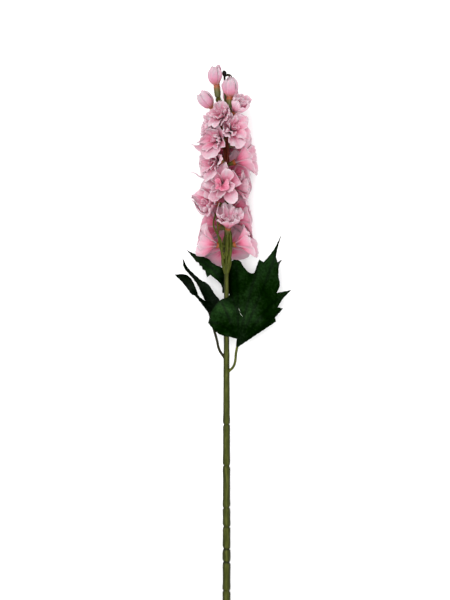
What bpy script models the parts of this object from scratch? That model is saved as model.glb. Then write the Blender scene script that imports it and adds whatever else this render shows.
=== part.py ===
"""Artificial delphinium flower spike, cut and laid on a flat surface.

A moulded stem carries stalks with green calyxes. Fabric florets and buds sit on the calyxes, and fabric
leaves lie on the leaf stalks. The spray rests on the foot of its stem and on the petals under the spike.
Metres, +Z up, +Y from the cut foot towards the tip. The origin is the middle of the footprint.
"""

import math
import random
from collections import namedtuple

import bmesh
import bpy
from mathutils import Matrix, Vector
from mathutils.geometry import delaunay_2d_cdt

MM = 0.001

# How the spray lies: the stem climbs from its foot, which touches the surface, to the spike.
REST_TILT = math.radians(3.2)
STEM_AXIS = Vector((0, 1, 0))

# Main stem: radius at distances from the cut foot, and the pinched joints of the moulded cover.
STEM_RADII = (
    (0 * MM, 4.2 * MM),
    (60 * MM, 4.2 * MM),
    (220 * MM, 3.9 * MM),
    (330 * MM, 3.3 * MM),
    (450 * MM, 2.7 * MM),
    (560 * MM, 2.0 * MM),
    (663 * MM, 1.2 * MM),
)
STEM_JOINTS = (22 * MM, 44 * MM, 79 * MM, 95 * MM, 122 * MM, 145 * MM, 196 * MM, 246 * MM)
JOINT_HALF = 1.9 * MM
JOINT_PINCH = 0.80
STEM_SIDES = 8
STEM_END = STEM_RADII[-1][0]
TIP_RADIUS = 2.2 * MM
TIP_PROFILE = ((0.6, 0.8), (1.6, 1.0), (2.6, 0.8), (3.2, 0.35))
TIP_LEAN = 2.4 * MM
LEAN_START = 560 * MM
TIP_HOOK = ((-2.2, 664.0), (1.6, 666.8), (4.8, 665.4), (7.4, 661.2))
HOOK_RADII = (0.8 * MM, 1.0 * MM, 1.4 * MM, 0.6 * MM)

# Flower stalks: each leaves the stem below its floret, runs close to it and bends out to the calyx.
STALK_RISE = 34 * MM
STALK_RADIUS = 1.4 * MM
STALK_BESIDE = 3.9 * MM
STALK_SIDES = 5
CALYX_RADIUS = 3.6 * MM
CALYX_PROFILE = ((1.0, 0.45), (0.45, 0.72), (0.12, 1.0), (0.0, 0.94))
FLORET_CALYX = 9 * MM
BUD_CALYX = 14 * MM
SEAT_GAP = 0.3 * MM

# Florets: sheets of fabric cut with rounded petals and pressed into cups, one inside the other.
FABRIC = 0.8 * MM
PETALS = 5
PETAL_OFFSETS = (-0.5, -0.25, 0.0, 0.25)
PETAL_FULLNESS = 0.22
PETAL_CURL = 0.05
PETAL_TILT = math.radians(7)
CORE_RADII = (3.0 * MM, 2.1 * MM, 1.2 * MM)
CORE_SHEET = 1.2 * MM
LAYER_LIFT = 2.2 * MM
CROWN_RISE = 0.5 * MM
PROFILE_STEPS = 8
FLORET_SEED = 7

# Room for the petals: planes half way to each neighbour, and the gaps kept to them, to the stem and to the
# surface that the spray lies on. Where a petal has no room its cup closes there, and then the petal is cut
# shorter. Tried are shares of the cup's opening and of the petal's length, at even turns round the floret.
KEEP_OFF_STEM = 6.2 * MM
NEIGHBOUR_GAP = 0.5 * MM
NEIGHBOUR_REACH = 1.15
NEST_LEAN = 1.0
HANG_GAP = 1.5 * MM
RESTING_FLORET = "floret_under_1"
MIDDLE_SHARE = 0.55
ROOM_TURNS = 30
OPEN_SHARES = (1.0, 0.9, 0.8, 0.7, 0.6, 0.5, 0.4, 0.3)
LENGTH_SHARES = (1.0, 0.9, 0.8, 0.7, 0.6, 0.5, 0.4)
LENGTH_COST = 1.5
TESTED_SHARES = (0.55, 1.0)
SHORTEN_STEP = 0.94
SHORTEST = 0.3

# A layer: length beside the floret's petal length, slope at root and tip, depth of the cuts between petals
# beside its length, and the places of its rings. Slopes are in degrees from the floret's axis.
Layer = namedtuple("Layer", "reach base_angle tip_angle notch shares")
FRONT_LAYERS = (
    Layer(1.00, 50, 98, 0.42, (0.5, 1.0)),
    Layer(0.80, 36, 66, 0.42, (0.5, 1.0)),
    Layer(0.44, 20, 30, 0.50, (1.0,)),
)
BACK_LAYERS = FRONT_LAYERS[:2]
HALF_OPEN_LAYERS = (
    Layer(1.00, 60, 4, 0.60, (0.4, 1.0)),
    Layer(0.72, 34, 4, 0.60, (1.0,)),
)
BUD_LAYERS = (Layer(1.00, 60, -66, 0.84, (0.28, 0.62, 1.0)),)

# Flowers as they sit on the spike: distance along the stem, angle round it from the upper side towards +X,
# lift towards the tip, distance of the seat from the stem's axis, petal length, and how far the cup opens.
FRONT_FLORETS = (
    ("floret_foot_left", 462, -74, 10, 12, 31, 0.72),
    ("floret_foot_right", 463, 70, 16, 12, 33, 0.70),
    ("floret_second_front", 483, 10, 58, 12, 32, 0.66),
    ("floret_second_right", 490, 92, 4, 10, 26, 0.80),
    ("floret_second_left", 511, -66, 6, 13, 32, 0.95),
    ("floret_main_front", 533, -12, 2, 12, 34, 0.95),
    ("floret_main_right", 529, 82, 4, 10, 27, 0.85),
    ("floret_third_left", 561, -50, 2, 11, 31, 0.80),
    ("floret_third_right", 561, 72, 18, 11, 33, 0.66),
    ("floret_fourth_left", 587, -38, 3, 11, 32, 0.95),
    ("floret_top_left", 601, -86, 14, 10, 28, 0.85),
    ("floret_top_right", 597, 26, 24, 10, 31, 0.90),
    ("floret_top_front", 612, -24, 42, 9, 27, 0.85),
)
BACK_FLORETS = (
    ("floret_under_1", 459, 180, 0, 16, 34, 0.95),
    ("floret_under_2", 483, -140, 8, 12, 31, 0.90),
    ("floret_under_3", 502, 148, 8, 11, 31, 0.90),
    ("floret_under_4", 524, -156, 10, 11, 33, 0.95),
    ("floret_under_5", 544, 154, 10, 11, 33, 0.95),
    ("floret_under_6", 563, -154, 12, 11, 32, 0.95),
    ("floret_under_7", 582, 146, 16, 11, 30, 0.95),
    ("floret_under_8", 602, -164, 24, 10, 29, 0.90),
)
HALF_OPEN = (("bud_right", 621, 48, 52, 11, 26, 1.0),)
BUDS = (
    ("bud_left", 626, -80, 48, 17, 29, 1.0),
    ("bud_front", 638, 20, 84, 12, 28, 1.0),
    ("bud_tall", 652, -76, 84, 12, 28, 1.0),
    ("bud_under", 632, 164, 64, 12, 27, 1.0),
)

# Room kept free for the leaf behind the lowest flowers: a point, in millimetres, and the way to the flower.
LEAF_LIMITS = {
    "floret_foot_left": ((-20, 445, -9), (0, 0.3, 0.95)),
    "floret_under_1": ((-25, 440, -18.5), (0.12, 0.1, -0.99)),
}

# Leaves, as seen from above with the spray laid out: outlines anticlockwise from the stalk, the heights that
# bend each blade over or under the stem, and the route of the stalk. Across, along and above, in millimetres.
RIGHT_LEAF_OUTLINE = (
    (13.2, 339.6), (59.2, 370.2), (58.2, 375.0), (67.8, 386.0), (61.6, 387.5), (66.6, 396.0), (77.9, 407.8),
    (60.1, 404.6), (64.0, 413.3), (62.5, 424.8), (63.0, 437.2), (66.4, 444.4), (61.0, 441.5), (59.6, 449.6),
    (66.4, 475.4), (58.2, 459.2), (51.5, 449.6), (44.3, 441.5), (39.1, 444.8), (33.4, 428.6), (28.1, 428.6),
    (20.9, 435.2), (15.6, 440.0), (9.0, 437.0), (-4.0, 433.0),
    (-15.7, 439.2), (-22.4, 445.3), (-40.9, 451.8),
    (-48.5, 456.0), (-33.5, 439.2), (-29.3, 431.9), (-23.4, 422.6),
    (-19.4, 425.8), (-6.6, 414.1), (-4.8, 404.0),
    (2.2, 404.8), (3.8, 402.4), (2.2, 399.8), (-7.0, 396.5), (-17.5, 384.0),
    (-22.1, 369.1), (-13.1, 358.7), (-4.1, 353.6),
    (5.9, 351.7), (12.4, 349.7), (11.4, 342.0),
)
RIGHT_LEAF_HEIGHTS = (
    (13, 340, 7.6), (14, 352, 8.6), (-4, 356, 8.6), (-22, 369, 9.0),
    (-5, 378, 8.4), (-4, 394, 7.4), (8, 396, 6.0),
    (20, 372, 9.5), (45, 372, 7.0), (60, 372, 4.0), (78, 408, -3.0),
    (62, 420, 0.0), (40, 405, 7.0), (30, 425, 0.5),
    (50, 445, 0.0), (66, 475, -6.0), (12, 413, -5.5), (14, 430, -9.0), (-2, 408, -8.2), (-4, 425, -11.5),
    (-3, 404, -8.0), (2, 405.5, -7.6), (-3, 397, 8.0), (2, 399, 7.6),
    (-22, 435, -14.0), (-40, 450, -17.0), (-48, 456, -18.0),
)
LEFT_LEAF_OUTLINE = (
    (-19.0, 377.0), (-12.0, 372.0), (-7.4, 379.0), (-6.6, 389.0),
    (-9.0, 397.6), (-12.6, 400.8), (-18.6, 410.4),
    (-22.2, 415.2), (-30.6, 420.0), (-36.6, 424.8), (-46.2, 434.4),
    (-50.0, 441.0), (-53.0, 447.0), (-51.6, 436.0),
    (-47.4, 429.6), (-42.6, 424.0), (-35.4, 415.2), (-30.6, 405.6),
    (-25.8, 395.0), (-33.0, 400.8), (-36.6, 410.4),
    (-41.4, 420.0), (-46.0, 424.8), (-52.4, 427.4), (-62.3, 427.0),
    (-54.6, 419.0), (-47.4, 410.4), (-41.2, 402.2),
    (-38.4, 401.6), (-31.7, 393.6), (-24.6, 384.0),
)
LEFT_LEAF_HEIGHTS = (
    (-20, 378, -1.0), (-9, 375, -2.0), (-8, 392, -4.0),
    (-18, 400, -4.5), (-24, 388, -1.0), (-40, 424, -7.0),
    (-53, 447, -9.0), (-34, 400, 2.0), (-42, 412, 5.0), (-62, 427, 10.0),
)
RIGHT_STALK = (
    (0, 306), (3.2, 311.0), (6.4, 313.5), (9.2, 318.0),
    (10.8, 325.0), (11.4, 332.5), (12.8, 340.0), (13.6, 346.0),
)
LEFT_STALK = (
    (0, 323), (-3.6, 328.8), (-6.4, 332.0), (-9.4, 338.0),
    (-11.4, 347.0), (-15.0, 360.0), (-18.6, 373.5), (-20.6, 381.5),
)
LEAF_STALK_RADIUS = 1.3 * MM
LEAF_THICKNESS = 0.8 * MM
LEAF_GRID = 9 * MM
GRID_CLEARANCE = 3.2 * MM
HEIGHT_BLEND = 3.5
STALK_CLEARANCE = 0.5 * MM
SAME_POINT = 0.01 * MM

GREEN_STEM = ("moulded_stem", (0.105, 0.115, 0.022, 1), 0.55)
DARK_GREEN_LEAF = ("leaf_fabric", (0.006, 0.020, 0.006, 1), 0.62)
PINK_PETAL = ("petal_fabric", (0.72, 0.36, 0.44, 1), 0.70)


def clear_scene():
    for old in list(bpy.data.objects):
        bpy.data.objects.remove(old)


def make_material(name, colour, roughness):
    material = bpy.data.materials.new(name)
    material.use_nodes = True
    shader = material.node_tree.nodes["Principled BSDF"]
    shader.inputs["Base Color"].default_value = colour
    shader.inputs["Roughness"].default_value = roughness
    shader.inputs["Metallic"].default_value = 0
    material.diffuse_color = colour
    return material


def add_object(name, shape, material, parent):
    """A named object from a bmesh whose faces already point outwards."""
    mesh = bpy.data.meshes.new(name)
    shape.to_mesh(mesh)
    shape.free()
    mesh.materials.append(material)
    mesh.shade_smooth()
    mesh.set_sharp_from_angle(angle=math.radians(40))
    obj = bpy.data.objects.new(name, mesh)
    bpy.context.scene.collection.objects.link(obj)
    obj.parent = parent
    return obj


def stem_radius(along):
    """Radius of the main stem, tapering between its stated radii and pinched at the joints."""
    radius = STEM_RADII[-1][1]
    for (start, first), (end, second) in zip(STEM_RADII, STEM_RADII[1:]):
        if start <= along <= end:
            radius = first + (second - first) * (along - start) / (end - start)
            break
    nearest = min(abs(along - joint) for joint in STEM_JOINTS)
    return radius * (JOINT_PINCH if nearest < JOINT_HALF / 2 else 1)


def tube(path, radii, sides):
    """A closed tube of polygon rings along a path."""
    shape = bmesh.new()
    rings = []
    for index, (point, radius) in enumerate(zip(path, radii)):
        before, after = path[max(index - 1, 0)], path[min(index + 1, len(path) - 1)]
        turn = (after - before).to_track_quat("Z", "Y")
        ring = []
        for side in range(sides):
            angle = 2 * math.pi * side / sides
            offset = turn @ Vector((math.cos(angle), math.sin(angle), 0))
            ring.append(shape.verts.new(point + offset * radius))
        rings.append(ring)
    for first, second in zip(rings, rings[1:]):
        for side in range(sides):
            after = (side + 1) % sides
            shape.faces.new((first[side], first[after], second[after], second[side]))
    shape.faces.new(list(reversed(rings[0])))
    shape.faces.new(rings[-1])
    return shape


def stem_place(along):
    """The middle of the stem at a distance from its foot. The tip leans a little to one side."""
    lean = max(0, along - LEAN_START) / (STEM_END - LEAN_START)
    return STEM_AXIS * along - Vector((1, 0, 0)) * TIP_LEAN * lean**2


def stem_rings():
    """Distances along the stem that need a ring: its ends, its changes of taper and its joints."""
    places = [along for along, _ in STEM_RADII]
    places = [place for place in places if min(abs(place - joint) for joint in STEM_JOINTS) > 2 * JOINT_HALF]
    for joint in STEM_JOINTS:
        places += [joint - JOINT_HALF, joint - JOINT_HALF / 3, joint + JOINT_HALF / 3, joint + JOINT_HALF]
    return sorted(places)


def stem_shape():
    """The stem's tube with the small round end bud at its tip."""
    rings = stem_rings()
    path = [stem_place(along) for along in rings]
    radii = [stem_radius(along) for along in rings]
    for step, share in TIP_PROFILE:
        path.append(stem_place(STEM_END) + STEM_AXIS * step * TIP_RADIUS)
        radii.append(share * TIP_RADIUS)
    return tube(path, radii, STEM_SIDES)


class Seat:
    """Where a floret or bud sits: its base on the calyx, its facing direction and its size."""

    def __init__(self, name, along, around, lift, out, reach, opening, layers):
        self.name = name
        self.reach = reach * MM
        self.opening = opening
        self.layers = layers
        self.calyx = BUD_CALYX if layers == BUD_LAYERS else FLORET_CALYX
        around = math.radians(around)
        lift = math.radians(lift)
        self.out = Vector((math.sin(around), 0, math.cos(around)))
        self.facing = self.out * math.cos(lift) + STEM_AXIS * math.sin(lift)
        self.base = STEM_AXIS * along * MM + self.out * out * MM
        self.centre = self.base + self.facing * self.reach * MIDDLE_SHARE


def all_seats():
    kinds = (
        (FRONT_FLORETS, FRONT_LAYERS),
        (BACK_FLORETS, BACK_LAYERS),
        (HALF_OPEN, HALF_OPEN_LAYERS),
        (BUDS, BUD_LAYERS),
    )
    return [Seat(*row, layers) for rows, layers in kinds for row in rows]


def stalk_path(seat):
    """From inside the stem, up beside it and out to the calyx, whose mouth is the path's end."""
    top = seat.base - seat.facing * SEAT_GAP
    calyx = [top - seat.facing * seat.calyx * share for share, _ in CALYX_PROFILE]
    start_along = seat.base.y - STALK_RISE
    start = STEM_AXIS * start_along + seat.out * STALK_RADIUS / 3
    beside = STEM_AXIS * (start_along + calyx[0].y) / 2 + seat.out * STALK_BESIDE
    return [start, beside] + calyx


def stalk_radii():
    return [STALK_RADIUS, STALK_RADIUS] + [CALYX_RADIUS * share for _, share in CALYX_PROFILE]


def leaf_height(x, y, heights):
    """Height of a leaf's middle surface: the stated heights, blended by their distance."""
    total = weight_sum = 0.0
    for across, along, above in heights:
        squared = (x / MM - across) ** 2 + (y / MM - along) ** 2 + HEIGHT_BLEND**2
        weight = squared**-1.5
        total += weight * above * MM
        weight_sum += weight
    return total / weight_sum


def leaf_stalk_path(route, heights):
    """The leaf stalk from the stem, climbing or sinking to its end under the blade."""
    end_x, end_y = route[-1]
    blade = leaf_height(end_x * MM, end_y * MM, heights)
    end_height = blade - LEAF_THICKNESS / 2 - STALK_CLEARANCE - LEAF_STALK_RADIUS
    level = len(route) - 2
    shares = [min(1, index / level) for index in range(len(route))]
    return [Vector((x * MM, y * MM, end_height * share)) for (x, y), share in zip(route, shares)]


def keep_outer_shell(mesh):
    """Fill the hollows that joining sealed and drop loose scraps: only the largest shell stays."""
    shape = bmesh.new()
    shape.from_mesh(mesh)
    waiting = set(shape.verts)
    shells = []
    while waiting:
        reached = [waiting.pop()]
        shell = set(reached)
        while reached:
            vert = reached.pop()
            for edge in vert.link_edges:
                other = edge.other_vert(vert)
                if other not in shell:
                    shell.add(other)
                    reached.append(other)
        waiting -= shell
        shells.append(shell)
    largest = max(shells, key=len)
    loose = [vert for vert in shape.verts if vert not in largest]
    bmesh.ops.delete(shape, geom=loose, context="VERTS")
    shape.to_mesh(mesh)
    shape.free()


def build_main_stem(seats, material, parent):
    """The stem with its flower stalks, calyxes and leaf stalks, joined into one moulding."""
    stem = add_object("main_stem", stem_shape(), material, parent)
    stalks = bpy.data.collections.new("stalks")
    bpy.context.scene.collection.children.link(stalks)
    shapes = [tube(stalk_path(seat), stalk_radii(), STALK_SIDES) for seat in seats]
    for route, heights in ((RIGHT_STALK, RIGHT_LEAF_HEIGHTS), (LEFT_STALK, LEFT_LEAF_HEIGHTS)):
        points = leaf_stalk_path(route, heights)
        shapes.append(tube(points, [LEAF_STALK_RADIUS] * len(points), STALK_SIDES))
    shapes.append(tube([Vector((x * MM, y * MM, 0)) for x, y in TIP_HOOK], HOOK_RADII, STALK_SIDES))
    helpers = []
    for number, shape in enumerate(shapes):
        helper = add_object(f"stalk_{number}", shape, material, parent)
        bpy.context.scene.collection.objects.unlink(helper)
        stalks.objects.link(helper)
        helpers.append(helper)
    join = stem.modifiers.new("join_stalks", "BOOLEAN")
    join.operation = "UNION"
    join.operand_type = "COLLECTION"
    join.collection = stalks
    join.solver = "EXACT"
    bpy.context.view_layer.objects.active = stem
    with bpy.context.temp_override(object=stem, active_object=stem):
        bpy.ops.object.modifier_apply(modifier=join.name)
    for helper in helpers:
        bpy.data.objects.remove(helper)
    bpy.data.collections.remove(stalks)
    keep_outer_shell(stem.data)
    return stem


def inside(point, corners):
    """Whether a point lies inside a closed outline."""
    within = False
    for start, end in zip(corners, corners[1:] + corners[:1]):
        if (start.y > point.y) != (end.y > point.y):
            if point.x < start.x + (end.x - start.x) * (point.y - start.y) / (end.y - start.y):
                within = not within
    return within


def edge_distance(point, corners):
    """Distance from a point to the nearest side of a closed outline."""
    nearest = float("inf")
    for start, end in zip(corners, corners[1:] + corners[:1]):
        side = end - start
        share = max(0, min(1, (point - start).dot(side) / side.length_squared))
        nearest = min(nearest, (start + side * share - point).length)
    return nearest


def grid_points(corners):
    """A triangular grid of points inside an outline."""
    low_x, high_x = min(c.x for c in corners), max(c.x for c in corners)
    low_y, high_y = min(c.y for c in corners), max(c.y for c in corners)
    row_height = LEAF_GRID * math.sqrt(3) / 2
    points = []
    for row in range(int((high_y - low_y) / row_height) + 1):
        for column in range(int((high_x - low_x) / LEAF_GRID) + 2):
            point = Vector((low_x + LEAF_GRID * (column + row % 2 / 2), low_y + row_height * row))
            if inside(point, corners) and edge_distance(point, corners) > GRID_CLEARANCE:
                points.append(point)
    return points


def build_leaf(name, outline, heights, material, parent):
    """A die-cut blade: its outline filled with triangles, bent to its heights and given a thickness."""
    corners = [Vector((x * MM, y * MM)) for x, y in outline]
    sides = [(index, (index + 1) % len(corners)) for index in range(len(corners))]
    filled = delaunay_2d_cdt(corners + grid_points(corners), sides, [], 1, SAME_POINT)
    sheet = bmesh.new()
    verts = [sheet.verts.new((p.x, p.y, leaf_height(p.x, p.y, heights))) for p in filled[0]]
    for triangle in filled[2]:
        sheet.faces.new([verts[index] for index in triangle])
    leaf = add_object(name, sheet, material, parent)
    blade = leaf.modifiers.new("thickness", "SOLIDIFY")
    blade.thickness = LEAF_THICKNESS
    blade.offset = 0
    return leaf


def separating_planes(seat, seats, floor):
    """Planes that keep a floret in its own room: (point, normal towards the floret, gap)."""
    planes = [(*floor, 0 if seat.name == RESTING_FLORET else HANG_GAP)]
    if seat.name in LEAF_LIMITS:
        point, way = LEAF_LIMITS[seat.name]
        planes.append((Vector(point) * MM, Vector(way).normalized(), NEIGHBOUR_GAP))
    for other in seats:
        apart = (other.centre - seat.centre).length
        if other is seat or apart > NEIGHBOUR_REACH * (seat.reach + other.reach):
            continue
        low, high = (seat, other) if seat.base.y < other.base.y else (other, seat)
        climb = (high.centre - low.centre).normalized()
        middle = low.centre.lerp(high.centre, low.reach / (low.reach + high.reach))
        outwards = Vector((middle.x, 0, middle.z)).normalized()
        normal = (climb + outwards * NEST_LEAN * abs(climb.y)).normalized()
        planes.append((middle, normal if high is seat else -normal, NEIGHBOUR_GAP))
        planes += stalk_planes(seat, other)
    return planes


def stalk_planes(seat, other):
    """Planes between a floret and the parts of a neighbour's stalk that stand off the stem."""
    planes = []
    path = stalk_path(other)
    for start, end in zip(path, path[1:]):
        side = end - start
        share = max(0, min(1, (seat.centre - start).dot(side) / side.length_squared))
        nearest = start + side * share
        if math.hypot(nearest.x, nearest.z) > KEEP_OFF_STEM - CALYX_RADIUS:
            away = (seat.centre - nearest).normalized()
            planes.append((nearest + away * CALYX_RADIUS, away, NEIGHBOUR_GAP))
    return planes


def has_room(point, planes, spare):
    """Whether a point is clear of the stem and on its own side of every plane, with some room to spare."""
    if math.hypot(point.x, point.z) < KEEP_OFF_STEM + spare:
        return False
    return all((point - origin).dot(normal) >= gap + spare for origin, normal, gap in planes)


def room_at(seat, planes, axes, turn):
    """The share of the cup's opening and of the petals' length that fits at a turn round the floret."""
    trials = [(open_share, length_share) for open_share in OPEN_SHARES for length_share in LENGTH_SHARES]
    trials.sort(key=lambda trial: (1 - trial[0]) + LENGTH_COST * (1 - trial[1]))
    for open_share, length_share in trials:
        places = []
        for number, layer in enumerate(seat.layers):
            for share in TESTED_SHARES:
                length = seat.reach * layer.reach * share * length_share
                places.append(petal_place(seat, number, length, open_share, 0, 0, turn))
        if all(has_room(seat.base + axes @ place, planes, FABRIC / 2) for place in places):
            return open_share, length_share
    return OPEN_SHARES[-1], LENGTH_SHARES[-1]


def find_room(seat, planes, axes):
    """The room at even turns round the floret, evened out so that the cup stays smooth."""
    room = [room_at(seat, planes, axes, 2 * math.pi * step / ROOM_TURNS) for step in range(ROOM_TURNS)]

    def least(step, which):
        return min(room[(step + near) % ROOM_TURNS][which] for near in (-1, 0, 1))

    def even(step, which):
        return sum(least(step + near, which) for near in (-1, 0, 1)) / 3

    return [(even(step, 0), even(step, 1)) for step in range(ROOM_TURNS)]


def room_between(room, turn):
    """The room at any turn round the floret."""
    step = turn / (2 * math.pi) * ROOM_TURNS % ROOM_TURNS
    first = int(step)
    low, high = room[first % ROOM_TURNS], room[(first + 1) % ROOM_TURNS]
    return [start + (end - start) * (step - first) for start, end in zip(low, high)]


def petal_profile(length, reach, base_angle, tip_angle):
    """Distance from the root, height and slope at a length along a petal."""
    out = height = 0.0
    step_length = length / PROFILE_STEPS
    for step in range(PROFILE_STEPS):
        share = (step + 0.5) * step_length / reach
        angle = base_angle + (tip_angle - base_angle) * share
        out += math.sin(angle) * step_length
        height += math.cos(angle) * step_length
    return out, height, angle


def turn_of(petal, offset, number):
    """The angle of a column of points round the floret. Each layer's petals cover the gaps of the last."""
    return 2 * math.pi * (petal + offset - number / 2) / PETALS


def layer_columns(number):
    """The columns of a layer, from the same side of the floret in every layer."""
    columns = [(petal, offset) for petal in range(PETALS) for offset in PETAL_OFFSETS]
    first = number * len(PETAL_OFFSETS) // 2
    return columns[first:] + columns[:first]


def petal_place(seat, number, length, opening, tilt, raised, turn):
    """A point at a length along a layer, raised above its middle surface, in the floret's own axes."""
    layer = seat.layers[number]
    base_angle = math.radians(layer.base_angle) * seat.opening * opening
    tip_angle = (math.radians(layer.tip_angle) * seat.opening + tilt) * opening
    out, height, angle = petal_profile(length, seat.reach * layer.reach, base_angle, tip_angle)
    outwards = Vector((math.cos(turn), math.sin(turn), 0))
    facing = Vector((0, 0, 1))
    above = facing * math.sin(angle) - outwards * math.cos(angle)
    root = facing * (LAYER_LIFT * number + CORE_SHEET / 2) + outwards * CORE_RADII[number]
    return root + outwards * out + facing * height + above * raised


def petal_column(seat, planes, room, axes, number, tilts, petal, offset):
    """Points out along the underside of a petal and back along its upper side, clear of the neighbours."""
    layer = seat.layers[number]
    turn = turn_of(petal, offset, number)
    opening, longest = room_between(room, turn)
    width = max(0.0, math.cos(math.pi * offset))
    outline = layer.notch + (1 - layer.notch) * width**PETAL_FULLNESS
    curl = PETAL_CURL * opening * (2 * offset) ** 2
    while True:
        faces = []
        for side in (-1, 1):
            for share in layer.shares[::-side]:
                reach = seat.reach * layer.reach * share
                raised = curl * reach * share + side * FABRIC / 2
                length = reach * outline * longest
                place = petal_place(seat, number, length, opening, tilts[petal] * width**2, raised, turn)
                faces.append(seat.base + axes @ place)
        if longest < SHORTEST or all(has_room(point, planes, 0) for point in faces):
            return faces
        longest *= SHORTEN_STEP


def floret_axes(seat, spin):
    """The floret's own axes, with its facing direction as the third, turned by its spin."""
    side_way = seat.facing.cross(STEM_AXIS).normalized()
    up_way = seat.facing.cross(side_way)
    return Matrix((side_way, up_way, seat.facing)).transposed() @ Matrix.Rotation(spin, 3, "Z")


def floret_rings(seat, planes, axes, draw):
    """Rings of points that run out and back along each layer, and whether each is farther out."""
    room = find_room(seat, planes, axes)
    rings = []
    for number, layer in enumerate(seat.layers):
        columns = layer_columns(number)
        tilts = [draw.uniform(-PETAL_TILT, PETAL_TILT) for _ in range(PETALS)]
        turns = [turn_of(petal, offset, number) for petal, offset in columns]
        core = [Vector((math.cos(turn), math.sin(turn), 0)) * CORE_RADII[number] for turn in turns]
        root = seat.base + seat.facing * LAYER_LIFT * number
        rings.append(([root + axes @ place for place in core], True))
        faces = [petal_column(seat, planes, room, axes, number, tilts, *column) for column in columns]
        outward_rings = len(layer.shares)
        for index, ring in enumerate(zip(*faces)):
            rings.append((list(ring), index <= outward_rings))
        rings.append(([root + seat.facing * CORE_SHEET + axes @ place for place in core], False))
    return rings


def build_floret(seat, planes, material, parent, draw):
    """Fabric cups one inside the other, as one closed surface."""
    axes = floret_axes(seat, draw.uniform(0, 2 * math.pi))
    shape = bmesh.new()
    rings = []
    outward = []
    for points, farther_out in floret_rings(seat, planes, axes, draw):
        rings.append([shape.verts.new(point) for point in points])
        outward.append(farther_out)
    foot = shape.verts.new(seat.base)
    crown_height = LAYER_LIFT * (len(seat.layers) - 1) + CORE_SHEET + CROWN_RISE
    crown = shape.verts.new(seat.base + seat.facing * crown_height)
    for step in range(len(rings[0])):
        after = (step + 1) % len(rings[0])
        shape.faces.new((foot, rings[0][after], rings[0][step]))
        shape.faces.new((crown, rings[-1][step], rings[-1][after]))
        for first, second, farther_out in zip(rings, rings[1:], outward[1:]):
            corners = (first[step], first[after], second[after], second[step])
            if not farther_out:
                corners = corners[1:] + corners[:1]
            shape.faces.new(corners[:3])
            shape.faces.new((corners[0], corners[2], corners[3]))
    return add_object(seat.name, shape, material, parent)


def stand_on_origin(spray):
    """Move the spray so that the middle of its footprint is the origin."""
    bpy.context.view_layer.update()
    corners = [obj.matrix_world @ vert.co for obj in spray.children for vert in obj.data.vertices]
    middle = [(min(c[axis] for c in corners) + max(c[axis] for c in corners)) / 2 for axis in range(2)]
    spray.location = (-middle[0], -middle[1], -min(c.z for c in corners))


def main():
    clear_scene()
    green = make_material(*GREEN_STEM)
    leaf_green = make_material(*DARK_GREEN_LEAF)
    pink = make_material(*PINK_PETAL)
    spray = bpy.data.objects.new("spray", None)
    bpy.context.scene.collection.objects.link(spray)
    spray.rotation_euler = (REST_TILT, 0, 0)
    upright = Vector((0, math.sin(REST_TILT), math.cos(REST_TILT)))
    floor = (Vector((0, 0, -STEM_RADII[0][1])), upright)
    seats = all_seats()
    build_main_stem(seats, green, spray)
    build_leaf("leaf_right", RIGHT_LEAF_OUTLINE, RIGHT_LEAF_HEIGHTS, leaf_green, spray)
    build_leaf("leaf_left", LEFT_LEAF_OUTLINE, LEFT_LEAF_HEIGHTS, leaf_green, spray)
    draw = random.Random(FLORET_SEED)
    for seat in seats:
        build_floret(seat, separating_planes(seat, seats, floor), pink, spray, draw)
    stand_on_origin(spray)


main()
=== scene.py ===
"""Artificial delphinium flower spike: fine petals, buds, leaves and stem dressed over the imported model.

The spray lies on a pale floor and the camera looks straight down on it, as the photograph shows it.
"""

import math
import random
from collections import namedtuple

import bpy
from mathutils import Matrix, Vector


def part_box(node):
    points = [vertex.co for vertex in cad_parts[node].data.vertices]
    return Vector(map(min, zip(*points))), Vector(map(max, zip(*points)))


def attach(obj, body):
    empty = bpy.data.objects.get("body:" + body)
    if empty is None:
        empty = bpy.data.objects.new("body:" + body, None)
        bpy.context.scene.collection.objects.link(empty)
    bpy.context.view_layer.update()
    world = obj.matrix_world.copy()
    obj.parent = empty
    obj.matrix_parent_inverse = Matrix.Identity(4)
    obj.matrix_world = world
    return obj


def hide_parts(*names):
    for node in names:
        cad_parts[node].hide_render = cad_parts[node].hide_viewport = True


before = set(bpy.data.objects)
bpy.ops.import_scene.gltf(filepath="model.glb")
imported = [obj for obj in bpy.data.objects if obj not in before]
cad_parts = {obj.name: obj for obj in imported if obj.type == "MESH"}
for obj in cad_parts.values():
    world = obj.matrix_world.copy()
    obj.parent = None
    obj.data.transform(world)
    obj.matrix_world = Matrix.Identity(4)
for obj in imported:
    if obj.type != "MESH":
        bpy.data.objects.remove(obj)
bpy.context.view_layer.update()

MM = 0.001

# How the spray lies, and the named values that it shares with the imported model.
REST_TILT = math.radians(3.2)
STEM_AXIS = Vector((0, 1, 0))
FOOT_DEPTH = 5 * MM
STEM_RADII = (
    (0, 4.2), (60, 4.2), (220, 3.9), (330, 3.3), (450, 2.7), (560, 2.0), (663, 1.2),
)
STEM_JOINTS = (22, 44, 79, 95, 122, 145, 196, 246)
MARKED_JOINTS = (79, 95)
STEM_END = 663
TIP_LEAN = 2.4
LEAN_START = 560
TIP_HOOK = (
    ((-2.2, 662.4, 0), 0.7), ((-0.4, 664.0, 0), 1.0), ((1.6, 664.8, 0), 1.6), ((4.8, 662.8, 0), 1.9),
    ((7.4, 659.2, 0), 0.5),
)

STALK_RISE = 34 * MM
STALK_RADIUS = 1.4 * MM
STALK_BESIDE = 3.9 * MM
CALYX_RADIUS = 3.6 * MM
CALYX_PROFILE = ((1.0, 0.45), (0.45, 0.72), (0.12, 1.0), (0.0, 0.94))
FLORET_CALYX = 9 * MM
BUD_CALYX = 14 * MM
SEAT_GAP = 0.3 * MM
FOOT_BUNDLE = 486 * MM

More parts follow.
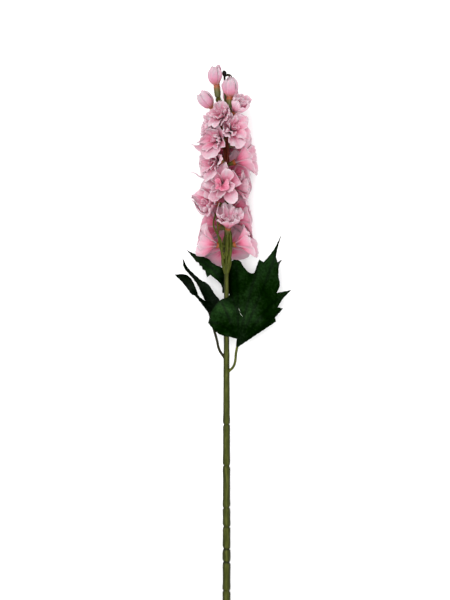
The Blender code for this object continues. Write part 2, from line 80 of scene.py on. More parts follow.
FABRIC = 0.8 * MM
PETALS = 5
PETAL_FULLNESS = 0.22
PETAL_CURL = 0.05
PETAL_TILT = math.radians(7)
CORE_RADII = (3.0 * MM, 2.1 * MM, 1.2 * MM)
CORE_SHEET = 1.2 * MM
LAYER_LIFT = 2.2 * MM
FLORET_SEED = 7

KEEP_OFF_STEM = 6.2 * MM
NEIGHBOUR_GAP = 0.5 * MM
NEIGHBOUR_REACH = 1.15
NEST_LEAN = 1.0
HANG_GAP = 1.5 * MM
RESTING_FLORET = "floret_under_1"
MIDDLE_SHARE = 0.55
ROOM_TURNS = 30
OPEN_SHARES = (1.0, 0.9, 0.8, 0.7, 0.6, 0.5, 0.4, 0.3)
LENGTH_SHARES = (1.0, 0.9, 0.8, 0.7, 0.6, 0.5, 0.4)
LENGTH_COST = 1.5
TESTED_SHARES = (0.55, 1.0)

Layer = namedtuple("Layer", "reach base_angle tip_angle notch")
FRONT_LAYERS = (
    Layer(1.00, 50, 98, 0.42),
    Layer(0.80, 36, 66, 0.42),
    Layer(0.44, 20, 30, 0.50),
)
BACK_LAYERS = FRONT_LAYERS[:2]
HALF_OPEN_LAYERS = (
    Layer(1.00, 60, 4, 0.60),
    Layer(0.72, 34, 4, 0.60),
)
BUD_LAYERS = (Layer(1.00, 60, -66, 0.84),)

# Flowers: distance along the stem, angle round it, lift, distance from the axis, petal length, opening.
FRONT_FLORETS = (
    ("floret_foot_left", 462, -74, 10, 12, 31, 0.72),
    ("floret_foot_right", 463, 70, 16, 12, 33, 0.70),
    ("floret_second_front", 483, 10, 58, 12, 32, 0.66),
    ("floret_second_right", 490, 92, 4, 10, 26, 0.80),
    ("floret_second_left", 511, -66, 6, 13, 32, 0.95),
    ("floret_main_front", 533, -12, 2, 12, 34, 0.95),
    ("floret_main_right", 529, 82, 4, 10, 27, 0.85),
    ("floret_third_left", 561, -50, 2, 11, 31, 0.80),
    ("floret_third_right", 561, 72, 18, 11, 33, 0.66),
    ("floret_fourth_left", 587, -38, 3, 11, 32, 0.95),
    ("floret_top_left", 601, -86, 14, 10, 28, 0.85),
    ("floret_top_right", 597, 26, 24, 10, 31, 0.90),
    ("floret_top_front", 612, -24, 42, 9, 27, 0.85),
)
BACK_FLORETS = (
    ("floret_under_1", 459, 180, 0, 16, 34, 0.95),
    ("floret_under_2", 483, -140, 8, 12, 31, 0.90),
    ("floret_under_3", 502, 148, 8, 11, 31, 0.90),
    ("floret_under_4", 524, -156, 10, 11, 33, 0.95),
    ("floret_under_5", 544, 154, 10, 11, 33, 0.95),
    ("floret_under_6", 563, -154, 12, 11, 32, 0.95),
    ("floret_under_7", 582, 146, 16, 11, 30, 0.95),
    ("floret_under_8", 602, -164, 24, 10, 29, 0.90),
)
HALF_OPEN = (("bud_right", 621, 48, 52, 11, 26, 1.0),)
BUDS = (
    ("bud_left", 626, -80, 48, 17, 29, 1.0),
    ("bud_front", 638, 20, 84, 12, 28, 1.0),
    ("bud_tall", 652, -76, 84, 12, 28, 1.0),
    ("bud_under", 632, 164, 64, 12, 27, 1.0),
)
LEAF_LIMITS = {
    "floret_foot_left": ((-20, 445, -9), (0, 0.3, 0.95)),
    "floret_under_1": ((-25, 440, -18.5), (0.12, 0.1, -0.99)),
}

# Leaves: outlines, heights that bend the blades, stalk routes and the lines of their main veins.
RIGHT_LEAF_OUTLINE = (
    (13.2, 339.6), (59.2, 370.2), (58.2, 375.0), (67.8, 386.0), (61.6, 387.5), (66.6, 396.0), (77.9, 407.8),
    (60.1, 404.6), (64.0, 413.3), (62.5, 424.8), (63.0, 437.2), (66.4, 444.4), (61.0, 441.5), (59.6, 449.6),
    (66.4, 475.4), (58.2, 459.2), (51.5, 449.6), (44.3, 441.5), (39.1, 444.8), (33.4, 428.6), (28.1, 428.6),
    (20.9, 435.2), (16.4, 442.5), (9.0, 444.5), (-4.0, 434.0),
    (-15.7, 439.2), (-22.4, 445.3), (-40.9, 451.8),
    (-48.5, 456.0), (-38.2, 443.4), (-36.4, 441.0), (-33.6, 440.4), (-32.4, 436.8), (-29.6, 436.0),
    (-28.8, 432.0), (-26.0, 431.0), (-23.4, 422.6), (-19.4, 425.8), (-6.6, 414.1), (-4.8, 404.0),
    (2.2, 404.8), (3.8, 402.4), (2.2, 399.8), (-7.0, 396.5), (-17.5, 384.0),
    (-22.1, 369.1), (-13.1, 358.7), (-4.1, 353.6),
    (5.9, 351.7), (12.4, 349.7), (11.4, 342.0),
)
RIGHT_LEAF_HEIGHTS = (
    (13, 340, 7.6), (14, 352, 8.6), (-4, 356, 8.6), (-22, 369, 9.0),
    (-5, 378, 8.4), (-4, 394, 7.4), (8, 396, 6.0),
    (20, 372, 9.5), (45, 372, 7.0), (60, 372, 4.0), (78, 408, -3.0),
    (62, 420, 0.0), (40, 405, 7.0), (30, 425, 0.5),
    (50, 445, 0.0), (66, 475, -6.0), (12, 413, -5.5), (14, 430, -9.0), (-2, 408, -8.2), (-4, 425, -11.5),
    (-3, 404, -8.0), (2, 405.5, -7.6), (-3, 397, 8.0), (2, 399, 7.6),
    (-22, 435, -14.0), (-40, 450, -17.0), (-48, 456, -18.0),
)
RIGHT_LEAF_VEINS = (
    ((13.4, 343), (30, 362), (52, 390), (77, 407)),
    ((13.4, 343), (28, 374), (47, 418), (58, 448), (66, 474)),
    ((13.4, 343), (34, 356), (48, 368), (66, 384)),
    ((13.4, 343), (21, 376), (30, 410), (38, 440)),
    ((13.4, 343), (14, 380), (13, 410), (12, 436)),
    ((13.4, 343), (14, 380), (2, 412), (-18, 434), (-46, 454)),
    ((13.4, 343), (4, 360), (-8, 368), (-20, 370)),
    ((13.4, 343), (6, 366), (0, 382), (-6, 394)),
)
LEFT_LEAF_OUTLINE = (
    (-19.0, 377.0), (-12.0, 372.0), (-7.4, 379.0), (-6.6, 389.0),
    (-9.0, 397.6), (-12.6, 400.8), (-18.6, 410.4),
    (-22.2, 415.2), (-30.6, 420.0), (-36.6, 424.8), (-46.2, 434.4),
    (-50.0, 441.0), (-53.0, 447.0), (-51.6, 436.0),
    (-47.4, 429.6), (-42.6, 424.0), (-35.4, 415.2), (-30.6, 405.6),
    (-25.8, 395.0), (-33.0, 400.8), (-36.6, 410.4),
    (-41.4, 420.0), (-46.0, 424.8), (-52.4, 427.4), (-62.3, 427.0),
    (-54.6, 419.0), (-47.4, 410.4), (-41.2, 402.2),
    (-38.4, 401.6), (-31.7, 393.6), (-24.6, 384.0),
)
LEFT_LEAF_HEIGHTS = (
    (-20, 378, -1.0), (-9, 375, -2.0), (-8, 392, -4.0),
    (-18, 400, -4.5), (-24, 388, -1.0), (-40, 424, -7.0),
    (-53, 447, -9.0), (-34, 400, 2.0), (-42, 412, 5.0), (-62, 427, 10.0),
)
LEFT_LEAF_VEINS = (
    ((-18, 376), (-22, 392), (-30, 408), (-42, 426), (-52, 445)),
    ((-18, 376), (-30, 394), (-42, 410), (-61, 426)),
    ((-18, 376), (-13, 388), (-11, 399)),
)
RIGHT_STALK = (
    (0, 306), (3.2, 311.0), (6.4, 313.5), (9.2, 318.0),
    (10.8, 325.0), (11.4, 332.5), (12.8, 340.0), (13.6, 346.0),
)
LEFT_STALK = (
    (0, 323), (-3.6, 328.8), (-6.4, 332.0), (-9.4, 338.0),
    (-11.4, 347.0), (-15.0, 360.0), (-18.6, 373.5), (-20.6, 381.5),
)
LEAF_STALK_RADIUS = 1.3
LEAF_STALK_FOOT = (1.4, 1.2)
STALK_SWELL = 1.2
LEAF_THICKNESS = 0.8 * MM
HEIGHT_BLEND = 3.5
STALK_CLEARANCE = 0.5 * MM

# Finer shapes of the stem's cover, the calyxes and the stalks.
COVER_SWELL = 1.06
JOINT_PINCH = 0.24
JOINT_BULGE = 0.07
JOINT_STEPS = (-5.2, -3.6, -2.4, -1.5, -0.8, 0, 0.8, 1.5, 2.4, 3.6, 5.2)
STEM_SEAM = 0.035
RING_SLANT = 0.175
END_BUD = ((STEM_END, 1.4), (664.6, 2.3), (666.5, 2.8), (668.4, 2.5), (669.7, 1.6), (670.2, 0.6))
CALYX_FOOT = 0.40
CALYX_RINGS = (
    (0.06, 0.47), (0.25, 0.60), (0.45, 0.74), (0.62, 0.80), (0.78, 0.93), (0.88, 1.0), (0.96, 1.0),
    (1.03, 1.06), (1.02, 0.92), (0.94, 0.80), (0.93, 0.20),
)
CALYX_RIB = 0.07
CALYX_LOBE = 0.10
BUD_TUBE = 1.9
BUD_STALK = 2.3
FOOT_STALK = 1.5

# Points and radii of the other stalks and of the frayed thread, and the raised creases on the large leaf,
# painted pale as a highlight.
PEDICELS = (
    (((-3.6, 436, 2), 1.7), ((-5.4, 452, 3.2), 1.6), ((-7.2, 468, 4.6), 1.3), ((-12.4, 478, 6.4), 1.0),
     ((-15.6, 486, 5.6), 1.0), ((-12.6, 500, 3.2), 1.2)),
    (((-2.6, 446, 3), 1.5), ((-7.4, 459, 5.2), 1.1), ((-9.6, 470, 6.4), 0.9), ((-10.4, 488, 6.6), 0.9),
     ((-8.4, 502, 3.4), 1.1)),
    (((2.4, 438, 2.6), 1.8), ((4.6, 452, 4.2), 1.9), ((5.2, 468, 5.4), 1.8), ((4.0, 480, 6.6), 1.6)),
    (((-4.0, 604, 1.0), 1.6), ((-6.2, 618, 1.8), 1.9), ((-7.4, 632, 2.4), 1.8), ((-9.0, 641, 2.6), 1.2)),
)
LOOSE_THREAD = (
    ((-24, 541.5, 1), 1.2), ((-33.5, 544.6, 1), 0.9), ((-37, 547.4, 1), 0.7), ((-41, 548.4, 0), 0.6),
    ((-45.5, 547.4, 0), 0.3),
)
LEAF_CREASES = (
    ((14.6, 386.6), (15.2, 384.6), (16.4, 382.4)),
    ((15.8, 381.6), (17.0, 379.4), (19.2, 376.8)),
)
CREASE_RADII = (0.12, 0.42, 0.12)
CREASE_RISE = 0.75

# Finer shapes of the leaves: cells, edge, veins and relief.
LEAF_CELL = 1.7
LEAF_SHEET = 0.4
DIE_HEIGHT = 6
GENTLE_TURN = math.radians(48)
OUTLINE_STEP = 2.2
EDGE_RIPPLE = 0.22
VEIN_STEP = 7.0
VEIN_ANGLE = math.radians(42)
MAIN_RELIEF = 0.9
SIDE_RELIEF = 0.25
LEAF_RIPPLE = 0.7
# How dark the painted shade is on the left leaf, which lies in shade.
LEFT_LEAF_PAINTED_SHADE = 0.78

# Finer shapes: petals, their habits and how they lie against each other.
PETAL_COLUMNS = 20
PETAL_ROWS = 16
BLANK_STEP = 3.0
SHEET = 0.36 * MM
LAYER_SPACE = 0.45 * MM
PRESS_START = 1.6 * MM
PRESSED_FROM = 0.4
RUFFLE = 0.7 * MM
RIPPLE_RATE = 2.3
RIPPLE_SHARE = 0.40
FRILL_ACROSS = 3.1
FRILL_ALONG = 13
POINT_POWER = 1.4
CLEFT_WIDTH = 0.12
ROLL_FROM = 0.55
NEAR_LEAST = (0.80, 0.86)
FAR_LEAST = (0.95, 1.0)
SIDE_ROOM = 25 * MM
LEFT_ROOM = 29 * MM
SIDE_SQUEEZE = 0.45
WIDE_ROOM = 36 * MM
FOOT_EDGE = 452 * MM
FOOT_SQUEEZE = 0.35
FOOT_DROP = 12 * MM
FOOT_DROP_FROM = 2 * MM
FOOT_DROP_WIDTH = 10 * MM
FOOT_RISE_FROM = 14 * MM
FOOT_SLOPE = 0.7
WIDE_FLORETS = ("floret_third_right", "floret_foot_right", "floret_foot_left")
# Florets with petals that stand out to the left, and how far along the stem those petals point.
TIP_FLORETS = {"floret_second_left": 521 * MM, "floret_fourth_left": 585 * MM}
TIP_ROOM = 20 * MM
TIP_PULL = 0.8
# Florets that open more to one side: the way, how much wider and how much longer their petals are there.
FAVOURED = {
    "floret_main_front": ((0.6, 0.9, 0), 0.14, 0.20),
    "floret_second_front": ((-0.3, 1, 0), 0.10, 0.18),
    "floret_third_right": ((0, 1, 0), 0.04, 0.14),
    "floret_fourth_left": ((-1, -0.15, -0.2), 0.04, 0.34),
    "floret_second_left": ((-1, 0.45, -0.1), 0.04, 0.40),
    "floret_second_right": ((0, -1, 0), 0.04, 0.25),
    "floret_under_3": ((0, -1, 0), 0.0, 0.25),
}
FAR_SIDE = 0.6
NESTED_FLORET = "floret_main_front"
FOOT_FLORETS = (RESTING_FLORET, "floret_foot_left", "floret_foot_right")
SMOOTH_CUPS = ("floret_third_right", "floret_foot_right", "floret_foot_left", "floret_second_right")
DEEP_FLORETS = (*SMOOTH_CUPS, "floret_second_left")
TULIP_BUD = "bud_left"
TULIP_FLARE = math.radians(15)
TULIP_WAIST = 0.84
CUP_LID = 0.45
CUP_TONE = 0.7
INNER_CUP = 0.72
LAYER_TONE = 2.0
HEART_SIZE = (0.22, 0.36)
HEART_MIDDLE = 0.42
HEART_ROLL = 300
HEART_CREASE = 0.10
PIN_RADIUS = 2.9 * MM
PIN_RISE = 0.9 * MM
PIN_PROFILE = ((0.30, 0.82), (0.62, 0.5412), (0.84, 0.4005), (0.96, 0.2483), (1.0, 0.1242))
PETAL_SPREAD = 0.22
WHORL_LAYER = 2
WHORL_SPREAD = 0.7
WHORL_REACH = 1.75
WHORL_BEND = math.radians(-74)
PLAIN_WHORL = 0.3
FLOOR_CLEAR = 0.35 * MM
HABIT_SEED = 23
Habit = namedtuple("Habit", "length lean twist cup waves phase wave_height roll point cleft fullness tone")
Cup = namedtuple("Cup", "seat axes room up_turn favoured_turn")
# The ranges that each kind of petal is drawn from, in the order of Habit. A single number is not drawn.
HABITS = {
    "smooth": (
        (0.98, 1.08), (-0.05, 0.05), (0.6, 1.4), (-0.5, 0.8), (1.2, 2.4), (0, 1),
        (0.4, 1.2), (-0.3, 0.5), (0.0, 0.2), (0.0, 0.08), 0.12, (1.6, 2.8),
    ),
    "whorl": (
        (0.85, 1.12), (0.2, 0.6), (1.6, 2.8), (1.0, 3.0), (0.8, 1.8), (0, 1),
        (0.3, 1.0), (-0.4, 0.2), (0.0, 0.3), (0.0, 0.10), 0.16, (-1, 0.4),
    ),
    "pointed": (
        (1.0, 1.12), (-0.12, 0.12), (0.4, 2.2), (2.0, 5.0), (1.0, 2.0), (0, 1),
        (1.0, 2.2), (-0.9, 0.1), (0.55, 0.95), (0.0, 0.06), (0.30, 0.50), (-0.6, 0.8),
    ),
    "bud": (
        (0.86, 1.0), (0.12, 0.26), (1.2, 2.2), (-0.4, 0.8), (1.0, 2.0), (0, 1),
        (0.5, 1.2), (-0.3, 0.2), (0.1, 0.3), (0.0, 0.06), PETAL_FULLNESS, (-1, 1),
    ),
    "open": (
        (0.86, 1.12), (-0.20, 0.20), (-0.6, 3.6), (-2.0, 5.0), (1.4, 3.4), (0, 1),
        (1.8, 3.4), (-1.1, 0.9), (0.10, 0.70), (0.0, 0.20), (0.16, 0.42), (-1, 1),
    ),
}

# Camera and floor.
PIXEL = 1.2 * MM
PHOTO_HEIGHT = 600
PHOTO_CENTRE = (-1.8 * MM, 396 * MM)
CAMERA_HEIGHT = 2.4
SENSOR = 36.0
FLOOR_DROP = 0.2 * MM

# The studio light is a little brighter than a white floor can show. Colours are given as seen under it.
LIGHT_LEVEL = 1.30
SURROUND = 1.10
# Where along the spray the stem turns red brown as painted shade among the florets, olive again, and black.
SHADED_FROM = 150 * MM
CLEAR_FROM = 262 * MM
BLACK_FROM = 314 * MM

# Colours along a petal, from its root to its margin. The nearly black red at the root is partly the fabric's
# deep colour and partly painted shade in the throat.
OPEN_COLOURS = (
    (0.00, (52, 0, 6)),
    (0.10, (132, 10, 36)),
    (0.22, (204, 60, 104)),
    (0.36, (226, 124, 152)),
    (0.54, (222, 160, 179)),
    (0.76, (208, 178, 188)),
    (1.00, (200, 184, 191)),
)
BUD_COLOURS = (
    (0.00, (140, 84, 30)),
    (0.10, (186, 100, 84)),
    (0.24, (204, 116, 140)),
    (0.45, (196, 140, 162)),
    (0.70, (188, 158, 170)),
    (1.00, (180, 168, 174)),
)

# Colours of the stem and the leaves by their tone, and of a calyx from its foot to its mouth.
STEM_COLOURS = ((0.0, (46, 52, 6)), (0.5, (66, 72, 14)), (1.0, (94, 98, 42)))
CALYX_COLOURS = ((0.0, (56, 60, 8)), (0.60, (80, 80, 12)), (0.92, (104, 80, 16)), (1.0, (150, 70, 26)))
# The lighter leaf colours are partly painted sheen.
LEAF_COLOURS = ((0.0, (1, 10, 0)), (0.40, (5, 25, 0)), (0.75, (11, 42, 3)), (1.0, (27, 60, 14)))


def srgb(red, green, blue):
    """A colour as it looks in the picture, 0 to 255, as the linear values that a shader takes."""
    values = []
    for channel in (red, green, blue):
        share = channel / 255
        linear = share / 12.92 if share <= 0.04045 else ((share + 0.055) / 1.055) ** 2.4
        values.append(linear / LIGHT_LEVEL)
    return (*values, 1.0)


# Modelling helpers

def deselect():
    """Nothing is selected."""
    bpy.ops.object.select_all(action="DESELECT")


def choose(piece):
    """Only this piece is selected and active."""
    deselect()
    piece.select_set(True)
    bpy.context.view_layer.objects.active = piece


def link_object(name, data):
    """A new object in the scene with this data."""
    piece = bpy.data.objects.new(name, data)
    bpy.context.collection.objects.link(piece)
    return piece


def apply_all(piece):
    """The piece's modifiers, applied in their order."""
    choose(piece)
    for modifier in list(piece.modifiers):
        bpy.ops.object.modifier_apply(modifier=modifier.name)


def join_pieces(name, pieces):
    """Several pieces made one, under a new name."""
    deselect()
    for piece in pieces:
        piece.select_set(True)
    bpy.context.view_layer.objects.active = pieces[0]
    bpy.ops.object.join()
    whole = bpy.context.view_layer.objects.active
    whole.name = name
    whole.data.name = name
    return whole


def smooth(piece, degrees=None):
    """Smooth shading, or only across edges that turn by less than the angle."""
    choose(piece)
    if degrees is None:
        bpy.ops.object.shade_smooth()
    else:
        bpy.ops.object.shade_smooth_by_angle(angle=math.radians(degrees))


def fit_new(size, move):
    """The piece just added, resized about the origin and then moved, in edit mode."""
    bpy.ops.object.mode_set(mode="EDIT")
    bpy.ops.mesh.select_all(action="SELECT")
    bpy.ops.transform.resize(value=size, center_override=(0, 0, 0))
    bpy.ops.transform.translate(value=move)
    return bpy.context.object


def thicken_up(height):
    """The flat piece in edit mode, extruded upwards to a closed one."""
    bpy.ops.mesh.select_all(action="SELECT")
    bpy.ops.mesh.extrude_region_move(TRANSFORM_OT_translate={"value": (0, 0, height)})
    bpy.ops.mesh.select_all(action="SELECT")
    bpy.ops.mesh.normals_make_consistent(inside=False)
    bpy.ops.object.mode_set(mode="OBJECT")


def draw_out(sides, first, rings):
    """A round piece: a disc of the first radius, extruded upwards to each ring's height and radius."""
    deselect()
    bpy.ops.mesh.primitive_circle_add(vertices=sides, radius=first, fill_type="NGON")
    piece = bpy.context.object
    bpy.ops.object.mode_set(mode="EDIT")
    bpy.ops.mesh.select_all(action="SELECT")
    before = 0.0
    radius = first
    for height, wide in rings:
        bpy.ops.mesh.extrude_region_move(TRANSFORM_OT_translate={"value": (0, 0, height - before)})
        share = wide / radius
        bpy.ops.transform.resize(value=(share, share, 1), center_override=(0, 0, height))
        before = height
        radius = wide
    bpy.ops.mesh.select_all(action="SELECT")
    bpy.ops.mesh.normals_make_consistent(inside=False)
    bpy.ops.object.mode_set(mode="OBJECT")
    return piece


def route_of(knots):
    """A route for round_wire from points and radii in millimetres."""
    return [(Vector(point) * MM, radius * MM) for point, radius in knots]


def round_wire(name, routes):
    """Round stalks along smooth routes of (point, radius), made a mesh with smooth shading."""
    deselect()
    bpy.ops.curve.primitive_bezier_curve_add()
    wire = bpy.context.object
    wire.name = name
    wire.data.splines.clear()
    wire.data.dimensions = "3D"
    wire.data.bevel_depth = 1.0
    wire.data.bevel_resolution = 3
    wire.data.resolution_u = 5
    wire.data.use_fill_caps = True
    for route in routes:
        spline = wire.data.splines.new("BEZIER")
        spline.bezier_points.add(len(route) - 1)
        for knot, (point, radius) in zip(spline.bezier_points, route):
            knot.co = point
            knot.radius = radius
            knot.handle_left_type = "AUTO"
            knot.handle_right_type = "AUTO"
    choose(wire)
    bpy.ops.object.convert(target="MESH")
    smooth(bpy.context.object)
    return bpy.context.object


def point_values(mesh, name, values):
    """A value at each vertex, which the materials read. One number holds for the whole piece."""
    if isinstance(values, (int, float)):
        values = [values] * len(mesh.vertices)
    layer = mesh.attributes.get(name) or mesh.attributes.new(name, "FLOAT", "POINT")
    layer.data.foreach_set("value", values)


def petal_values(mesh, along, margin, tone, fold):
    """What the petal fabric is coloured by: the place along a petal, its margin, its tone and its folds,
    where shade is painted.
    """
    point_values(mesh, "petal_along", along)
    point_values(mesh, "petal_margin", margin)
    point_values(mesh, "petal_tone", tone)
    point_values(mesh, "petal_fold_shade", fold)


def spray_place():
    """Where the spray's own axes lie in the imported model: the middle of the stem's foot, tilted."""
    low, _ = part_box("main_stem")
    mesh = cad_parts["main_stem"].data
    foot = [vert.co for vert in mesh.vertices if vert.co.y < low[1] + FOOT_DEPTH]
    middle = Vector([(min(c[axis] for c in foot) + max(c[axis] for c in foot)) / 2 for axis in range(3)])
    return Matrix.Translation(middle) @ Matrix.Rotation(REST_TILT, 4, "X")


PLACE = spray_place()


def settle(piece, slot, material, *nodes):
    """The finished piece put in its place, with its material and the nodes that it stands for."""
    piece.data.transform(PLACE)
    piece.data.materials.clear()
    piece.data.materials.append(material)
    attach(piece, "root")
    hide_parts(*nodes)
    return piece


# The spike's plan

class Seat:
    """Where a floret or bud sits: its base on the calyx, its facing direction and its size."""

    def __init__(self, name, along, around, lift, out, reach, opening, layers):
        self.name = name
        self.reach = reach * MM
        self.opening = opening
        self.layers = layers
        self.calyx = BUD_CALYX if layers == BUD_LAYERS else FLORET_CALYX
        around = math.radians(around)
        lift = math.radians(lift)
        self.out = Vector((math.sin(around), 0, math.cos(around)))
        self.facing = self.out * math.cos(lift) + STEM_AXIS * math.sin(lift)
        self.base = STEM_AXIS * along * MM + self.out * out * MM
        self.centre = self.base + self.facing * self.reach * MIDDLE_SHARE


def all_seats():
    """The seats of all florets and buds."""
    kinds = (
        (FRONT_FLORETS, FRONT_LAYERS),
        (BACK_FLORETS, BACK_LAYERS),
        (HALF_OPEN, HALF_OPEN_LAYERS),
        (BUDS, BUD_LAYERS),
    )
    return [Seat(*row, layers) for rows, layers in kinds for row in rows]


def stalk_path(seat):
    """From inside the stem, up beside it and out to the calyx, whose mouth is the path's end."""
    top = seat.base - seat.facing * SEAT_GAP
    calyx = [top - seat.facing * seat.calyx * share for share, _ in CALYX_PROFILE]
    start_along = seat.base.y - STALK_RISE
    start = STEM_AXIS * start_along + seat.out * STALK_RADIUS / 3
    beside = STEM_AXIS * (start_along + calyx[0].y) / 2 + seat.out * STALK_BESIDE
    return [start, beside] + calyx


def separating_planes(seat, seats, floor):
    """Planes that keep a floret in its own room: (point, normal towards the floret, gap)."""
    planes = [(*floor, 0 if seat.name == RESTING_FLORET else HANG_GAP)]
    if seat.name in LEAF_LIMITS:
        point, way = LEAF_LIMITS[seat.name]
        planes.append((Vector(point) * MM, Vector(way).normalized(), NEIGHBOUR_GAP))
    for other in seats:
        apart = (other.centre - seat.centre).length
        if other is seat or apart > NEIGHBOUR_REACH * (seat.reach + other.reach):
            continue
        low, high = (seat, other) if seat.base.y < other.base.y else (other, seat)
        climb = (high.centre - low.centre).normalized()
        middle = low.centre.lerp(high.centre, low.reach / (low.reach + high.reach))
        outwards = Vector((middle.x, 0, middle.z)).normalized()
        normal = (climb + outwards * NEST_LEAN * abs(climb.y)).normalized()
        planes.append((middle, normal if high is seat else -normal, NEIGHBOUR_GAP))
        planes += stalk_planes(seat, other)
    return planes


def stalk_planes(seat, other):
    """Planes between a floret and the parts of a neighbour's stalk that stand off the stem."""
    planes = []
    path = stalk_path(other)
    for start, end in zip(path, path[1:]):
        side = end - start
        share = max(0, min(1, (seat.centre - start).dot(side) / side.length_squared))
        nearest = start + side * share
        if math.hypot(nearest.x, nearest.z) > KEEP_OFF_STEM - CALYX_RADIUS:
            away = (seat.centre - nearest).normalized()
            planes.append((nearest + away * CALYX_RADIUS, away, NEIGHBOUR_GAP))
    return planes


def has_room(point, planes, spare):
    """Whether a point keeps clear of the stem and of all the planes."""
    if math.hypot(point.x, point.z) < KEEP_OFF_STEM + spare:
        return False
    return all((point - origin).dot(normal) >= gap + spare for origin, normal, gap in planes)


def petal_profile(length, reach, base_angle, tip_angle):
    """Distance from the root, height and slope at a length along a petal that bends evenly."""
    bend = tip_angle - base_angle
    angle = base_angle + bend * length / reach
    if abs(bend) < 0.001:
        return math.sin(angle) * length, math.cos(angle) * length, angle
    out = (math.cos(base_angle) - math.cos(angle)) * reach / bend
    height = (math.sin(angle) - math.sin(base_angle)) * reach / bend
    return out, height, angle


def petal_place(seat, number, length, opening, tilt, raised, turn):
    """A point at a length along a layer, raised above its middle surface, in the floret's own axes."""
    layer = seat.layers[number]
    base_angle = math.radians(layer.base_angle) * seat.opening * opening
    tip_angle = (math.radians(layer.tip_angle) * seat.opening + tilt) * opening
    out, height, angle = petal_profile(length, seat.reach * layer.reach, base_angle, tip_angle)
    outwards = Vector((math.cos(turn), math.sin(turn), 0))
    facing = Vector((0, 0, 1))
    above = facing * math.sin(angle) - outwards * math.cos(angle)
    root = facing * (LAYER_LIFT * number + CORE_SHEET / 2) + outwards * CORE_RADII[number]
    return root + outwards * out + facing * height + above * raised


def room_at(seat, planes, axes, turn):
    """The share of the cup's opening and of the petals' length that fits at a turn round the floret."""
    trials = [(open_share, length_share) for open_share in OPEN_SHARES for length_share in LENGTH_SHARES]
    trials.sort(key=lambda trial: (1 - trial[0]) + LENGTH_COST * (1 - trial[1]))
    for open_share, length_share in trials:
        places = []
        for number, layer in enumerate(seat.layers):
            for share in TESTED_SHARES:
                length = seat.reach * layer.reach * share * length_share
                places.append(petal_place(seat, number, length, open_share, 0, 0, turn))
        if all(has_room(seat.base + axes @ place, planes, FABRIC / 2) for place in places):
            return open_share, length_share
    return OPEN_SHARES[-1], LENGTH_SHARES[-1]


def find_room(seat, planes, axes):
    """The room at even turns round the floret, evened out so that the cup stays smooth."""
    room = [room_at(seat, planes, axes, 2 * math.pi * step / ROOM_TURNS) for step in range(ROOM_TURNS)]

    def least(step, which):
        return min(room[(step + near) % ROOM_TURNS][which] for near in (-1, 0, 1))

    def even(step, which):
        return sum(least(step + near, which) for near in (-1, 0, 1)) / 3

    return [(even(step, 0), even(step, 1)) for step in range(ROOM_TURNS)]


def room_between(room, turn):
    """The room at any turn, blended from the two tested turns beside it."""
    step = turn / (2 * math.pi) * ROOM_TURNS % ROOM_TURNS
    first = int(step)
    low, high = room[first % ROOM_TURNS], room[(first + 1) % ROOM_TURNS]
    return [start + (end - start) * (step - first) for start, end in zip(low, high)]


def turn_of(petal, offset, number):
    """The angle of a line of points round the floret. Each layer's petals cover the gaps of the last."""
    return 2 * math.pi * (petal + offset - number / 2) / PETALS


def floret_axes(seat, spin):
    """The floret's own axes: Z is the way it faces, and it is spun about that."""
    side_way = seat.facing.cross(STEM_AXIS).normalized()
    up_way = seat.facing.cross(side_way)
    return Matrix((side_way, up_way, seat.facing)).transposed() @ Matrix.Rotation(spin, 3, "Z")


def make_cup(seat, planes, spin):
    """A floret's axes and room, and the turns that face the camera and the side that it favours."""
    axes = floret_axes(seat, spin)
    upwards = axes.transposed() @ Vector((0, 0, 1))
    favoured = axes.transposed() @ (Vector(FAVOURED[seat.name][0]) if seat.name in FAVOURED else STEM_AXIS)
    up_turn = math.atan2(upwards.y, upwards.x)
    return Cup(seat, axes, find_room(seat, planes, axes), up_turn, math.atan2(favoured.y, favoured.x))


# Florets and buds

def petal_kind(seat, number):
    """Which kind of habit the petals of a layer have."""
    if seat.layers is BUD_LAYERS:
        return "bud"
    if number == WHORL_LAYER:
        return "whorl"
    if seat.name == NESTED_FLORET:
        return "pointed"
    if number == 0 and (seat.name in SMOOTH_CUPS or seat.layers is BACK_LAYERS):
        return "smooth"
    return "open"


def petal_habit(draw, kind):
    """How one petal differs from the next, drawn from the ranges of its kind."""
    values = [draw.uniform(*drawn) if isinstance(drawn, tuple) else drawn for drawn in HABITS[kind]]
    habit = Habit(*values)
    return habit._replace(twist=habit.twist * MM, cup=habit.cup * MM, wave_height=habit.wave_height * MM)


def petal_blank(layers):
    """Flat petals, five to a row and a row to each layer, which every floret's petals are shaped from."""
    deselect()
    bpy.ops.mesh.primitive_grid_add(x_subdivisions=PETAL_COLUMNS, y_subdivisions=PETAL_ROWS, size=2)
    blank = fit_new((1, 0.5, 1), (0, 0.5, 0))
    bpy.ops.object.mode_set(mode="OBJECT")
    for count, way in ((PETALS, (BLANK_STEP, 0, 0)), (layers, (0, BLANK_STEP, 0))):
        row = blank.modifiers.new("row", "ARRAY")
        row.count = count
        row.use_relative_offset = False
        row.use_constant_offset = True
        row.constant_offset_displace = way
        bpy.ops.object.modifier_apply(modifier=row.name)
    return blank


def press(point, planes, number):
    """Fabric that would reach past a neighbour lies along it, the inner layers a little further in."""
    for origin, normal, gap in planes:
        spare = (point - origin).dot(normal) - gap - LAYER_SPACE * number
        if spare < PRESS_START:
            point = point + normal * (PRESS_START * math.exp(spare / PRESS_START - 1) - spare)
    away = math.hypot(point.x, point.z)
    spare = away - KEEP_OFF_STEM + FABRIC - LAYER_SPACE * number
    if spare < PRESS_START:
        moved = PRESS_START * math.exp(spare / PRESS_START - 1) - spare
        point = point + Vector((point.x, 0, point.z)) / away * moved
    return point


